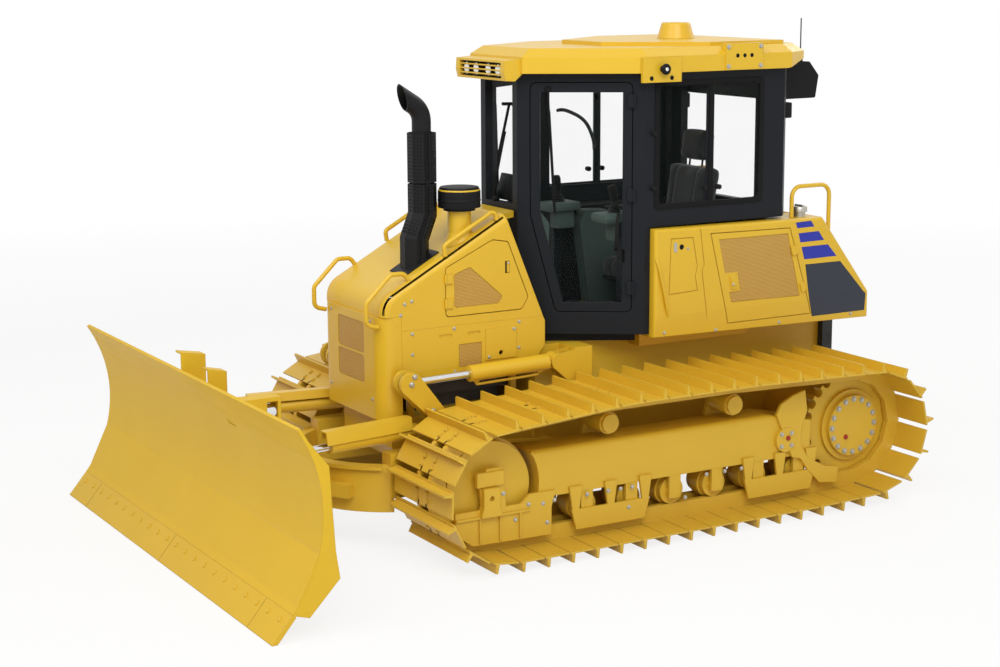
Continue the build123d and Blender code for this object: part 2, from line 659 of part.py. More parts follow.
with BuildPart() as cab_frame:
    plan_plate(both_hands(cab_plan), cab_band_z, cab_top_z - cab_band_z)
    plan_plate(both_hands(foot_plan), cab_bottom_z, cab_band_z - cab_bottom_z)
    block(cab_rear_x, cab_rear_x + cab_wall, -body_inner_y + door_gap, body_inner_y - door_gap,
          cab_bottom_z, cab_band_z)
    with BuildSketch(Plane.XY.offset(cab_band_z)):
        with BuildLine():
            Polyline(*both_hands(cab_plan), close=True)
        make_face()
        offset(amount=-cab_wall, mode=Mode.REPLACE)
    extrude(amount=cab_top_z - cab_band_z, mode=Mode.SUBTRACT)
    with BuildSketch(Plane.XY.offset(cab_bottom_z)):
        with BuildLine():
            Polyline(*both_hands(foot_plan), close=True)
        make_face()
        offset(amount=-cab_wall, mode=Mode.REPLACE)
    extrude(amount=cab_band_z - cab_bottom_z, mode=Mode.SUBTRACT)
    block(body_front_x - 20, body_front_x + 80, -body_inner_y + cab_wall, body_inner_y - cab_wall,
          cab_bottom_z, cab_band_z + 10, Mode.SUBTRACT)
    add(door_void.part, mode=Mode.SUBTRACT)
    mirror(door_void.part, about=Plane.XZ, mode=Mode.SUBTRACT)
    block(side_window[0], side_window[1], -cab_half_width - 10, cab_half_width + 10,
          side_window[2], side_window[3], Mode.SUBTRACT)
    block(pillar_front[0] - cab_wall - 20, pillar_front[0] + 10, -windshield_half, windshield_half,
          windshield_z[0], windshield_z[1], Mode.SUBTRACT)
    block(cab_rear_x - 10, cab_rear_x + cab_wall + 10, -rear_window_half, rear_window_half,
          rear_window_z[0], rear_window_z[1], Mode.SUBTRACT)
    for mullion_y in (cab_half_width - 24, 6 - cab_half_width):
        block(-1090, -1040, mullion_y, mullion_y + 18, side_window[2], side_window[3])
keep(cab_frame.part, "cab_frame")

# Fixed panes
glass = 6
with BuildPart() as cab_glass:
    block(pillar_front[0] - 30, pillar_front[0] - 30 + glass, -windshield_half, windshield_half,
          windshield_z[0], windshield_z[1])
    for pane_y in (cab_half_width - 30, 30 - cab_half_width - glass):
        block(side_window[0], side_window[1], pane_y, pane_y + glass, side_window[2], side_window[3])
    block(cab_rear_x + 20, cab_rear_x + 20 + glass, -rear_window_half, rear_window_half,
          rear_window_z[0], rear_window_z[1])
keep(cab_glass.part, "cab_glass")

# Cab doors, hinged at the middle pillars
door_thickness = 42
door_border = 58
hinge_s = door_rear_s + 8
hinge_out = 18


def door_panel(points, border, outer, thickness, mode=Mode.ADD):
    with BuildSketch(door_plane.offset(outer)) as outline:
        with BuildLine():
            Polyline(*points, close=True)
        make_face()
        fillet(outline.vertices(), 40)
        offset(amount=-border, mode=Mode.REPLACE)
    extrude(outline.sketch, amount=-thickness, mode=mode)


with BuildPart() as cab_door:
    door_panel(door_opening, door_gap, 0, door_thickness)
    door_panel(door_opening, door_gap + door_border, 1, door_thickness + 2, Mode.SUBTRACT)
    hinge_point = door_plane.from_local_coords((hinge_s, 0, hinge_out))
    for knuckle_z in (1420, 2000, 2580):
        post(hinge_point.X, hinge_point.Y, knuckle_z, 80, 10)
        with BuildSketch(Plane(origin=door_plane.from_local_coords((hinge_s - 40, knuckle_z, 0)),
                               x_dir=door_plane.x_dir, z_dir=door_plane.z_dir)):
            Rectangle(40, 80, align=(Align.MIN, Align.MIN))
        extrude(amount=hinge_out + 4)
keep_pair(cab_door.part, "cab_door")

with BuildPart() as door_glass:
    door_panel(door_opening, door_gap + door_border, -18, glass)
keep_pair(door_glass.part, "door_glass")

# Roof with front lamp visor
roof_tail_x = cab_rear_x - 140
roof_plan = [(110, 320), (pillar_middle[0] + 40, cab_half_width + roof_overhang),
             (cab_rear_x + 60, cab_half_width + roof_overhang), (roof_tail_x, cab_half_width - 65)]
visor_front_x = 227
visor_half = 300
visor_depth = 70
tail_rise = 50
deck_thickness = 24
with BuildPart() as cab_roof:
    plan_plate(both_hands(roof_plan), cab_top_z, roof_thickness)
    with BuildSketch(Plane.XY.offset(cab_top_z + roof_thickness)):
        with BuildLine():
            Polyline(*both_hands(roof_plan), close=True)
        make_face()
    extrude(amount=roof_crown, taper=55)
    side_plate([(pillar_front[0] + 2, cab_top_z), (visor_front_x - 80, cab_top_z - 46), (visor_front_x - 12, cab_top_z - 42),
                (visor_front_x, cab_top_z + 10), (visor_front_x - 5, cab_top_z + 80), (40, cab_top_z + roof_thickness - 6)],
               visor_half, 2 * visor_half)
    block(visor_front_x - visor_depth, visor_front_x + 10, -visor_half + 45, visor_half - 45,
          cab_top_z - 28, cab_top_z + 66, Mode.SUBTRACT)
    for bar_z in (cab_top_z - 8, cab_top_z + 19, cab_top_z + 46):
        disc(visor_front_x - 12, bar_z, visor_half - 30, 2 * (visor_half - 30), 5)
    side_plate([(cab_rear_x + 88, cab_top_z - 5), (cab_rear_x + 88, cab_top_z), (roof_tail_x, cab_top_z + tail_rise),
                (roof_tail_x - 10, cab_top_z + tail_rise), (roof_tail_x - 10, cab_top_z - 5)],
               cab_half_width + roof_overhang + 10, 2 * (cab_half_width + roof_overhang + 10), Mode.SUBTRACT)
    for hand in (1, -1):
        roof_side = hand * (cab_half_width + roof_overhang)
        block(-1400, -1110, roof_side - hand * 40, roof_side + hand * 12, cab_top_z + 2, cab_top_z + 165)
        block(-775, -490, roof_side - hand * 12, roof_side + hand * 12, cab_top_z - 56, cab_top_z + 96)
    plan_plate(both_hands([(-520, 230), (-1060, 640), (-1640, 640)]), cab_top_z + roof_thickness + roof_crown - 10,
               deck_thickness + 10)
keep(cab_roof.part, "cab_roof")

# Roof deck with its dome
with BuildPart() as roof_dome:
    with BuildSketch(Plane.XY.offset(cab_top_z + roof_thickness + roof_crown + deck_thickness)) as dome_foot:
        with Locations((-1255, 0)):
            Circle(122)
    extrude(amount=102, taper=16)
    fillet(roof_dome.faces().sort_by(Axis.Z)[-1].edges(), 14)
keep(roof_dome.part, "roof_dome")

# Rear air unit under the roof's tail and the whip antenna on it
air_unit_rear_x = -2066
with BuildPart() as air_unit:
    side_plate([(cab_rear_x, cab_top_z - 6), (cab_rear_x, cab_top_z - 220), (air_unit_rear_x + 24, cab_top_z - 218),
                (air_unit_rear_x, cab_top_z - 72), (air_unit_rear_x + 78, cab_top_z + 20),
                (cab_rear_x - 150, cab_top_z + 20), (cab_rear_x - 150, cab_top_z - 6)], 480, 960)
    fillet(air_unit.edges().filter_by(Axis.Y).sort_by(Axis.X)[:3], 12)
keep(air_unit.part, "air_unit")

with BuildPart() as antenna:
    post(-1950, 430, cab_top_z + 20, 24, 16)
    post(-1950, 430, cab_top_z + 44, 256, 4)
keep(antenna.part, "antenna")

# Roof lamps: two pairs behind the visor's guard bars
with BuildPart() as roof_lamps:
    for lamp_y in (-195, -75, 75, 195):
        block(visor_front_x - visor_depth, visor_front_x - 24, lamp_y - 46, lamp_y + 46, cab_top_z - 24, cab_top_z + 62)
keep(roof_lamps.part, "roof_lamps")

# Cab floor
floor_half = 370
with BuildPart() as cab_floor:
    plan_plate(both_hands([(pillar_front[0] - cab_wall - 20, pillar_front[1] - 45), (body_front_x + 110, 540),
                           (body_front_x + 65, 540), (body_front_x + 65, floor_half),
                           (cab_rear_x + cab_wall, floor_half)]),
               cab_bottom_z, 30)
    block(cab_rear_x + 80, body_front_x + 20, -floor_half, floor_half, hull_top, cab_bottom_z)
    plan_plate(both_hands([(pillar_front[0] - 40, pillar_front[1] - 20), (body_front_x + 40, 560)]),
               hull_top, cab_bottom_z - hull_top)
keep(cab_floor.part, "cab_floor")

# Seat and consoles
floor_top = cab_bottom_z + 30
seat_x = -1080
with BuildPart() as operator_seat:
    block(seat_x - 180, seat_x + 180, -180, 180, floor_top, floor_top + 190)
    side_plate([(seat_x - 240, floor_top + 190), (seat_x + 260, floor_top + 190), (seat_x + 280, floor_top + 330),
                (seat_x - 200, floor_top + 310), (seat_x - 300, floor_top + 930), (seat_x - 420, floor_top + 900)],
               245, 490, corner=35)
    side_plate([(seat_x - 330, floor_top + 930), (seat_x - 310, floor_top + 1160), (seat_x - 410, floor_top + 1170),
                (seat_x - 400, floor_top + 840), (seat_x - 320, floor_top + 840)], 140, 280, corner=20)
keep(operator_seat.part, "operator_seat")

with BuildPart() as consoles:
    for console_y in (390, -290):
        side_plate([(seat_x - 200, floor_top), (seat_x + 300, floor_top), (seat_x + 380, floor_top + 560),
                    (seat_x + 330, floor_top + 640), (seat_x - 260, floor_top + 600)], console_y, 100, corner=30)
    side_plate([(-40, floor_top), (-160, floor_top), (-190, floor_top + 640), (-90, floor_top + 760), (10, floor_top + 760)],
               150, 300, corner=20)
keep(consoles.part, "consoles")

# Rear body: a tank and service box on each side of the cab and radiator
rear_door_outline = [(-1180, 1180), (-1030, 1775), (-1668, 1765), (-1862, 1180)]
rear_window = [(-1204, 1318), (-1185, 1384), (-1276, 1386), (-1249, 1510), (-1150, 1510), (-1099, 1730),
               (-1650, 1728), (-1758, 1310)]
filler_door = [(-727, 1764), (-897, 1761), (-935, 1573), (-919, 1516), (-938, 1417), (-715, 1408)]
body_seam = [(-949, 1815), (-983, 1579), (-966, 1542), (-1027, 1130)]
seam_width = 5
bend_z = 1278
bend_inset = 13
rear_door_recess = 16
with BuildPart() as bend_void:
    with BuildSketch(Plane.YZ.offset(body_rear_x - 20)):
        with BuildLine():
            Polyline((body_outer_y, bend_z), (body_outer_y + 10, bend_z), (body_outer_y + 10, body_bottom_z - 30),
                     (body_outer_y - bend_inset, body_bottom_z - 30), close=True)
        make_face()
    extrude(amount=body_front_x - body_rear_x + 40)

with BuildPart() as rear_body:
    side_plate([(body_front_x, body_bottom_z + 18), (body_front_x, body_top_z), (body_slope_top_x, body_top_z - 14),
                (body_rear_x, body_slope_foot_z), (body_rear_x, body_bottom_z - 12)],
               body_outer_y, body_outer_y - body_inner_y)
    fillet(rear_body.faces().sort_by(Axis.Y)[-1].edges(), 22)
    add(bend_void.part, mode=Mode.SUBTRACT)
    side_plate(rear_door_outline, body_outer_y, rear_door_recess, Mode.SUBTRACT)
    side_plate([*body_seam, *[(x - seam_width, z) for x, z in reversed(body_seam)]], body_outer_y, seam_width, Mode.SUBTRACT)
    with BuildSketch(side_plane(body_outer_y)) as filler_ring:
        with BuildLine():
            Polyline(*filler_door, close=True)
        make_face()
        offset(amount=-seam_width, mode=Mode.SUBTRACT)
    extrude(amount=seam_width, mode=Mode.SUBTRACT)
    disc(-810, 1705, body_outer_y, 20, 17, Mode.SUBTRACT)
    block(body_front_x - 900, body_front_x - 40, hull_half_width - 20, body_inner_y + 60, hull_top - 60, body_bottom_z + 40)
rear_tanks = rear_body.part + mirror(rear_body.part, about=Plane.XZ)
keep(rear_tanks, "rear_tanks")

rear_edge_top = Vector(*rear_door_outline[2])
rear_edge_run = Vector(*rear_door_outline[3]) - rear_edge_top
rear_edge_along = rear_edge_run.normalized()
rear_edge_in = Vector(-rear_edge_along.Y, rear_edge_along.X)
rear_hinge_y = body_outer_y + 9
knuckle_length = 60
with BuildPart() as rear_door:
    with BuildSketch(side_plane(body_outer_y)) as rear_door_face:
        with BuildLine():
            Polyline(*rear_door_outline, close=True)
        make_face()
        offset(amount=-door_gap, mode=Mode.REPLACE)
    extrude(amount=rear_door_recess - 1)
    add(bend_void.part, mode=Mode.SUBTRACT)
    side_plate(rear_window, body_outer_y, window_recess, Mode.SUBTRACT)
    for knuckle_share in (0.2, 0.62):
        knuckle = rear_edge_top + rear_edge_run * knuckle_share
        knuckle_end = knuckle + rear_edge_along * knuckle_length
        round_bar((knuckle.X, rear_hinge_y, knuckle.Y), (rear_edge_along.X, 0, rear_edge_along.Y), knuckle_length, 7)
        side_plate([knuckle, knuckle_end, knuckle_end + rear_edge_in * 40, knuckle + rear_edge_in * 40],
                   rear_hinge_y + 3, rear_hinge_y + 3 - body_outer_y)
keep_pair(rear_door.part, "rear_door")

# Radiator with its fan shroud, behind the hinged rear grille
slope_run = Vector(body_rear_x - body_slope_top_x, body_slope_foot_z - body_top_z + 14)
slope_along = slope_run.normalized()
grille_thickness = 30
with BuildPart() as radiator:
    side_plate([(cab_rear_x - 60, hull_top), (cab_rear_x - 60, body_top_z - 40), (body_slope_top_x + 60, body_top_z - 60),
                (body_rear_x + 100, body_slope_foot_z - 20), (body_rear_x + 100, hull_top)], 390, 780)
    block(body_rear_x + 60, hull_rear_x, -body_inner_y, body_inner_y, hull_bottom + 300, body_slope_foot_z - 90)
keep(radiator.part, "radiator")

grille_half_width = body_inner_y - 10
grille_plane = Plane(origin=(body_slope_top_x, 0, body_top_z - 14), x_dir=(0, 1, 0),
                     z_dir=(slope_along.Y, 0, -slope_along.X))
grille_pin_radius = 9
grille_hinge = grille_plane.from_local_coords((0, 24, -grille_thickness / 2))
with BuildPart() as rear_grille:
    with BuildSketch(grille_plane):
        with Locations((0, slope_run.length / 2)):
            Rectangle(2 * grille_half_width, slope_run.length - 20)
    extrude(amount=-grille_thickness)
    for pin_y in (body_inner_y, 60 - body_inner_y):
        disc(grille_hinge.X, grille_hinge.Z, pin_y, 60, grille_pin_radius)
keep(rear_grille.part, "rear_grille")

# Drawbar with its towing pin hole
drawbar_z = 560
hitch_radius = 24
hitch_x = hull_rear_x - 130
with BuildPart() as drawbar:
    block(hitch_x, hull_rear_x, -110, 110, drawbar_z - 25, drawbar_z + 25)
    post(hitch_x, 0, drawbar_z - 25, 50, 90)
    block(hull_rear_x - 40, hull_rear_x, -200, 200, drawbar_z - 140, drawbar_z + 140)
    post(hitch_x, 0, drawbar_z - 30, 60, hitch_radius, Mode.SUBTRACT)
keep(drawbar.part, "drawbar")

# Grab rails on the hood's nose, along the hood and on the rear body
rail_radius = 14
with BuildPart() as hand_rails:
    for hand in (1, -1):
        nose_rail_y = hand * (hood_half_width - 40)
        bent_bar([(1136, nose_rail_y, 1330), (1215, nose_rail_y, 1350), (1215, nose_rail_y, 1480),
                  (1050, nose_rail_y, 1640), (960, nose_rail_y, 1640), (925, nose_rail_y, 1590)], 45, rail_radius)
        hood_rail_y = hand * (hood_half_width - 16)
        bent_bar([(690, hood_rail_y, 1725), (700, hood_rail_y, 1790), (345, hood_rail_y, 1985),
                  (335, hood_rail_y, 1920)], 30, rail_radius)
        body_rail_y = hand * (body_outer_y - 70)
        bent_bar([(-1730, body_rail_y, body_top_z - 10), (-1730, body_rail_y, body_top_z + 190),
                  (-2040, body_rail_y, body_top_z + 190), (-2040, body_rail_y, body_top_z - 160)], 70, rail_radius)
    add(hood_mass.part, mode=Mode.SUBTRACT)
    add(mask_mass.part, mode=Mode.SUBTRACT)
    add(rear_tanks, mode=Mode.SUBTRACT)
keep(hand_rails.part, "hand_rails")

# C-frame: two arms, lift horns, a curved front wall and the nose that holds the king pin
arm_outer_y = arm_y + arm_width / 2
arm_inner_y = arm_y - arm_width / 2
wall_end_x = edge_x - 1280
wall_front_x = edge_x - 930
wall_rise = wall_front_x - wall_end_x
wall_radius = (arm_outer_y ** 2 + wall_rise ** 2) / (2 * wall_rise)
wall_centre_x = wall_front_x - wall_radius
wall_thickness = 50
wall_low = 245
wall_high = 530
lip_height = 24
lip_reach = 24
lip_end_x = wall_end_x + 70
step_angle = 32
nose_low = swivel_z - 80
nose_high = swivel_z + 80
nose_radius = 95
horn_radius = 56
horn_eye_radius = 72
arm_profile = [(trunnion_x - 40, trunnion_z - 105), (wall_end_x + 20, arm_bottom), (wall_end_x + 20, arm_top),
               (660, arm_top), (trunnion_x - 40, trunnion_z + 105)]
horn_root_rear = (590, arm_top - 40)
horn_root_front = (770, arm_top - 40)
horn_waist = (858, angle_z + 52)
angle_boss_radius = 48
angle_boss_top = angle_z - 66
with BuildPart() as c_frame:
    for hand in (1, -1):
        arm_face = arm_outer_y if hand > 0 else -arm_inner_y
        side_plate(arm_profile, arm_face, arm_width)
        disc(trunnion_x, trunnion_z, arm_face, arm_width, 112)
        for plate_low in (arm_inner_y, arm_outer_y - horn_plate):
            horn_face = plate_low + horn_plate if hand > 0 else -plate_low
            side_plate([horn_root_rear, horn_root_front, horn_waist, (lift_eye[0] + 50, lift_eye[1] - 52),
                        (lift_eye[0] - 52, lift_eye[1] + 50)], horn_face, horn_plate)
            disc(lift_eye[0], lift_eye[1], horn_face, horn_plate, horn_eye_radius)
        post(angle_base[0], hand * angle_base[1], arm_top - 5, angle_boss_top - arm_top + 5, angle_boss_radius)
    for ring_low, ring_rear, ring_radius in ((wall_low, wall_end_x, wall_radius),
                                             (wall_high - lip_height, lip_end_x, wall_radius + lip_reach)):
        with BuildSketch(Plane.XY.offset(ring_low)):
            with Locations((wall_centre_x, 0)):
                Circle(ring_radius)
                Circle(wall_radius - wall_thickness, mode=Mode.SUBTRACT)
            with Locations((ring_rear - 1000, 0)):
                Rectangle(2000, 3 * wall_radius, mode=Mode.SUBTRACT)
        extrude(amount=wall_high - ring_low)
    for step_turn in (step_angle, -step_angle):
        with Locations(Location((wall_centre_x, 0, wall_low + 130), (0, 0, step_turn))):
            with Locations((wall_radius + 10, 0, 0)):
                Box(90, 210, 80)
    with BuildSketch(Plane.XY.offset(nose_low)):
        with BuildLine():
            Polyline((wall_front_x - 40, -150), (swivel_x, -nose_radius), (swivel_x, nose_radius),
                     (wall_front_x - 40, 150), close=True)
        make_face()
        with Locations((swivel_x, 0)):
            Circle(nose_radius)
    extrude(amount=nose_high - nose_low)
    post(swivel_x, 0, nose_low, nose_high - nose_low, king_pin_radius + running_gap, Mode.SUBTRACT)
    for hand in (1, -1):
        arm_face = arm_outer_y if hand > 0 else -arm_inner_y
        disc(trunnion_x, trunnion_z, arm_face, arm_width, trunnion_radius + running_gap, Mode.SUBTRACT)
        post(angle_base[0], hand * angle_base[1], arm_top - 5, angle_boss_top - arm_top + 5, 30 + running_gap,
             Mode.SUBTRACT)
keep(c_frame.part, "c_frame")

# Swivel: clevis on the king pin, with the tilt pin in front and the tilt cylinder's post
swivel_plate = 40
swivel_low = nose_low - side_gap - swivel_plate
swivel_high = nose_high + side_gap + swivel_plate
swivel_front_x = swivel_x + nose_radius + 65
swivel_block_x = swivel_x + nose_radius + 15
tilt_pin_length = 110
tower_half = 60
tower_plate = 25
tower_face_x = tilt_x - tilt_barrel_radius - side_gap
tilt_pivot_radius = 20
with BuildPart() as blade_swivel:
    for plate_low in (swivel_low, swivel_high - swivel_plate):
        with BuildSketch(Plane.XY.offset(plate_low)):
            with BuildLine():
                Polyline((swivel_x, -nose_radius), (swivel_front_x, -nose_radius), (swivel_front_x, nose_radius),
                         (swivel_x, nose_radius), close=True)
            make_face()
            with Locations((swivel_x, 0)):
                Circle(nose_radius)
        extrude(amount=swivel_plate)
    block(swivel_block_x, swivel_front_x, -nose_radius, nose_radius, swivel_low, swivel_high)
    post(swivel_x, 0, swivel_low, swivel_high - swivel_low, king_pin_radius)
    round_bar((swivel_front_x - 5, 0, swivel_z), (1, 0, 0), tilt_pin_length + 5, tilt_pin_radius)
    with BuildSketch(Plane.YZ.offset(tower_face_x - tower_plate)):
        with BuildLine():
            Polyline((-nose_radius, swivel_z), (30, swivel_z), (tilt_base[0] + 52, tilt_base[1]),
                     (tilt_base[0] - 52, tilt_base[1]), close=True)
        make_face()
        with Locations(tilt_base):
            Circle(52)
    extrude(amount=tower_plate)
    block(swivel_block_x, tower_face_x, -nose_radius, 30, swivel_high - swivel_plate, swivel_high)
    round_bar((tower_face_x - 5, *tilt_base), (1, 0, 0), 2 * tilt_barrel_radius, tilt_pivot_radius)
keep(blade_swivel.part, "blade_swivel")

# Blade: curved moldboard with closed beams along its top and bottom, ribs and end plates
edge_tip = Vector(edge_x, 0)
seam = Vector(edge_x - edge_back, edge_rise)
blade_top = Vector(edge_x - blade_lean, blade_height)
chord = blade_top - seam
chord_middle = (seam + blade_top) * 0.5
forward_normal = Vector(chord.Y, -chord.X).normalized()
moldboard_radius = (chord.length ** 2 / 4 + moldboard_sagitta ** 2) / (2 * moldboard_sagitta)
arc_centre = chord_middle + forward_normal * (moldboard_radius - moldboard_sagitta)
arc_middle = chord_middle - forward_normal * moldboard_sagitta


def behind(point, distance):
    return point + (point - arc_centre).normalized() * distance


def face_x(z, distance):
    reach = moldboard_radius + distance
    return arc_centre.X - (reach ** 2 - (z - arc_centre.Y) ** 2) ** 0.5


half_blade = blade_width / 2
deck_rear = (blade_top.X - 175, blade_height - 211)
back_high = (blade_top.X - 203, 450)
back_low = (blade_top.X - 225, 299)
foot_rear = (blade_top.X - 45, 113)
centre_boss_half = 120
eye_plate = 20
eye_gap_half = 72
eye_plate_half = 46
tilt_slot_half = 33
tilt_cheek = 20
tilt_eye_radius = 44


def blade_rib(y_outer, thickness):
    with BuildSketch(side_plane(y_outer)) as outline:
        with BuildLine():
            ThreePointArc(seam, arc_middle, blade_top)
            Polyline(blade_top, deck_rear, back_high, back_low, foot_rear, seam)
        make_face()
    extrude(outline.sketch, amount=thickness)


with BuildPart() as blade:
    with BuildSketch(side_plane(half_blade)):
        with BuildLine():
            ThreePointArc(seam, arc_middle, blade_top)
            Line(blade_top, behind(blade_top, moldboard_thickness))
            ThreePointArc(behind(blade_top, moldboard_thickness), behind(arc_middle, moldboard_thickness),
                          behind(seam, moldboard_thickness))
            Line(behind(seam, moldboard_thickness), seam)
        make_face()
    extrude(amount=blade_width)
    blade_rib(half_blade, end_plate_thickness)
    blade_rib(end_plate_thickness - half_blade, end_plate_thickness)
    for rib_y in (1130, 640, 330, -330, -640, -1130):
        blade_rib(rib_y + 10, 20)
    side_plate([behind(blade_top, moldboard_thickness / 2), deck_rear,
                (face_x(deck_rear[1] - 30, moldboard_thickness / 2), deck_rear[1] - 30)], half_blade - 1, blade_width - 2)
    side_plate([behind(seam, moldboard_thickness / 2), foot_rear, back_low, back_high,
                (face_x(back_high[1] + 40, moldboard_thickness / 2), back_high[1] + 40)], half_blade - 1, blade_width - 2)
    block(tower_face_x + side_gap, back_high[0] + 60, -centre_boss_half, centre_boss_half,
          swivel_z - centre_boss_half, swivel_z + centre_boss_half)
    for hand in (1, -1):
        for plate_low in (angle_z - eye_gap_half - eye_plate, angle_z + eye_gap_half):
            with BuildSketch(Plane.XY.offset(plate_low)):
                with Locations((angle_eye[0], hand * angle_eye[1])):
                    Circle(eye_plate_half - 12)
                    Rectangle(face_x(angle_z, 5) - angle_eye[0], 2 * (eye_plate_half - 12), align=(Align.MIN, Align.CENTER))
            extrude(amount=eye_plate)
    block(tilt_x - tilt_slot_half - tilt_cheek, face_x(tilt_eye[1], 5), tilt_eye[0] - 55, tilt_eye[0] + 55,
          tilt_eye[1] - 50, tilt_eye[1] + 90)
    block(tilt_x - tilt_slot_half, tilt_x + tilt_slot_half, tilt_eye[0] - 60, tilt_eye[0] + 60,
          tilt_eye[1] - 60, tilt_eye[1] + 65, Mode.SUBTRACT)
    round_bar((swivel_front_x, 0, swivel_z), (1, 0, 0), tilt_pin_length + side_gap, tilt_pin_radius + running_gap,
              Mode.SUBTRACT)
    for cover_y, cover_front, cover_rear, cover_top in ((0, 190, 340, 1235), (300, 235, 350, 1185)):
        side_plate([(edge_x - cover_front, blade_height - 20), (edge_x - cover_front, cover_top),
                    (edge_x - cover_rear, cover_top - 24), (edge_x - cover_rear, blade_height - 170)], cover_y + 6, 12)
        side_plate([(edge_x - cover_front, cover_top), (edge_x - cover_rear, cover_top - 24),
                    (edge_x - cover_rear, cover_top - 36), (edge_x - cover_front, cover_top - 12)], cover_y + 6, 90)
keep(blade.part, "blade")

# Cutting edge with its end bits, bolted below the moldboard
edge_foot = edge_thickness / (edge_rise / hypot(edge_rise, edge_back))
edge_outline = [edge_tip, seam, behind(seam, edge_thickness), (edge_x - edge_foot, 0)]
with BuildPart() as cutting_edge:
    side_plate(edge_outline, half_blade, blade_width)
keep(cutting_edge.part, "cutting_edge")


# Hydraulic cylinders, laid along a line from their base pin to their rod eye
def barrel(base, along, across, length, radius, bore, eye_half, pin_radius, eye_radius):
    # A tube with a closed base, an eye for the base pin and a gland for the rod
    eye_plane = Plane(origin=base, x_dir=along, z_dir=across)
    with BuildSketch(eye_plane.offset(-eye_half)) as eye:
        Circle(eye_radius)
        with Locations((eye_radius / 2 + 6, 0)):
            Rectangle(eye_radius + 12, 1.5 * radius)
    extrude(eye.sketch, amount=2 * eye_half)
    tube_start = eye_radius + 8
    round_bar(base + along * tube_start, along, length - tube_start, radius)
    round_bar(base + along * (tube_start + 12), along, length - tube_start - 12 + 1, bore + 12, Mode.SUBTRACT)
    round_bar(base + along * (length - 40), along, 40, radius)
    round_bar(base + along * (length - 45), along, 50, bore + running_gap, Mode.SUBTRACT)
    with BuildSketch(eye_plane.offset(-eye_half - 5)) as hole:
        Circle(pin_radius + running_gap)
    extrude(hole.sketch, amount=2 * eye_half + 10, mode=Mode.SUBTRACT)


def rod(base, along, across, inner, reach, radius, eye_half, eye_radius, hole_radius):
    round_bar(base + along * inner, along, reach - inner - eye_radius / 2, radius)
    round_bar(base + along * inner, along, 12, radius + 11)
    with BuildSketch(Plane(origin=base + along * reach, x_dir=along, z_dir=across).offset(-eye_half)) as eye:
        Circle(eye_radius)
        Circle(hole_radius, mode=Mode.SUBTRACT)
    extrude(eye.sketch, amount=2 * eye_half)


lift_start = Vector(lift_base[0], arm_y, lift_base[1])
lift_end = Vector(lift_eye[0], arm_y, lift_eye[1])
lift_along = (lift_end - lift_start).normalized()
with BuildPart() as lift_barrel:
    barrel(lift_start, lift_along, Vector(0, 1, 0), lift_barrel_length, lift_barrel_radius, lift_rod_radius,
           lift_eye_half, lift_pin_radius, 54)
keep_pair(lift_barrel.part, "lift_barrel")
lift_gap_half = (arm_width - 2 * horn_plate) / 2
with BuildPart() as lift_rod:
    rod(lift_start, lift_along, Vector(0, 1, 0), 345, (lift_end - lift_start).length, lift_rod_radius,
        lift_gap_half - side_gap, 52, 28)
keep_pair(lift_rod.part, "lift_rod")

angle_start = Vector(angle_base[0], angle_base[1], angle_z)
angle_end = Vector(angle_eye[0], angle_eye[1], angle_z)
angle_along = (angle_end - angle_start).normalized()
angle_across = Vector(-angle_along.Y, angle_along.X, 0)
angle_eye_half = 26
angle_pin_radius = 20
yoke_ear = 18
with BuildPart() as angle_yoke:
    post(angle_base[0], angle_base[1], arm_top, angle_boss_top - arm_top + 1, 30)
    post(angle_base[0], angle_base[1], angle_boss_top + 0.5, 12, angle_boss_radius)
    ear_plane = Plane(origin=angle_start, x_dir=angle_along, z_dir=angle_across)
    for ear_start in (angle_eye_half + 1, -angle_eye_half - 1 - yoke_ear):
        with BuildSketch(ear_plane.offset(ear_start)):
            Circle(34)
            with Locations((0, 30)):
                Rectangle(68, 60)
        extrude(amount=yoke_ear)
    with BuildSketch(ear_plane.offset(-angle_eye_half - 1 - yoke_ear)):
        Circle(angle_pin_radius)
    extrude(amount=2 * (angle_eye_half + 1 + yoke_ear))
keep_pair(angle_yoke.part, "angle_yoke")

guard_half = 46
with BuildPart() as angle_barrel:
    barrel(angle_start, angle_along, angle_across, angle_barrel_length, angle_barrel_radius, angle_rod_radius,
           angle_eye_half, angle_pin_radius, 34)
    guard_plane = Plane(origin=angle_start, x_dir=(0, 0, 1), z_dir=angle_along)
    with BuildSketch(guard_plane.offset(70)) as guard_face:
        with BuildLine():
            Polyline((18, -guard_half - 4), (98, -guard_half + 14), (98, guard_half - 14), (44, guard_half),
                     (42, guard_half - 10), (88, guard_half - 23), (88, -guard_half + 23), (20, -guard_half + 6), close=True)
        make_face()
    extrude(amount=angle_barrel_length - 30)
    for strap_s in (100, angle_barrel_length - 80):
        with BuildSketch(guard_plane.offset(strap_s)):
            with Locations((angle_barrel_radius + 22, 0)):
                Rectangle(52, 40)
        extrude(amount=30)
keep_pair(angle_barrel.part, "angle_barrel")
with BuildPart() as angle_rod:
    rod(angle_start, angle_along, Vector(0, 0, 1), 322, (angle_end - angle_start).length, angle_rod_radius,
        35, 46, 24)
keep_pair(angle_rod.part, "angle_rod")

tilt_start = Vector(tilt_x, *tilt_base)
tilt_end = Vector(tilt_x, *tilt_eye)
tilt_along = (tilt_end - tilt_start).normalized()
with BuildPart() as tilt_barrel:
    barrel(tilt_start, tilt_along, Vector(1, 0, 0), tilt_barrel_length, tilt_barrel_radius, tilt_rod_radius,
           tilt_barrel_radius - 10, tilt_pivot_radius, 40)
keep(tilt_barrel.part, "tilt_barrel")
with BuildPart() as tilt_rod:
    rod(tilt_start, tilt_along, Vector(1, 0, 0), 250, (tilt_end - tilt_start).length, tilt_rod_radius,
        tilt_slot_half - side_gap, tilt_eye_radius, 22)
keep(tilt_rod.part, "tilt_rod")
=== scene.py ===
import math

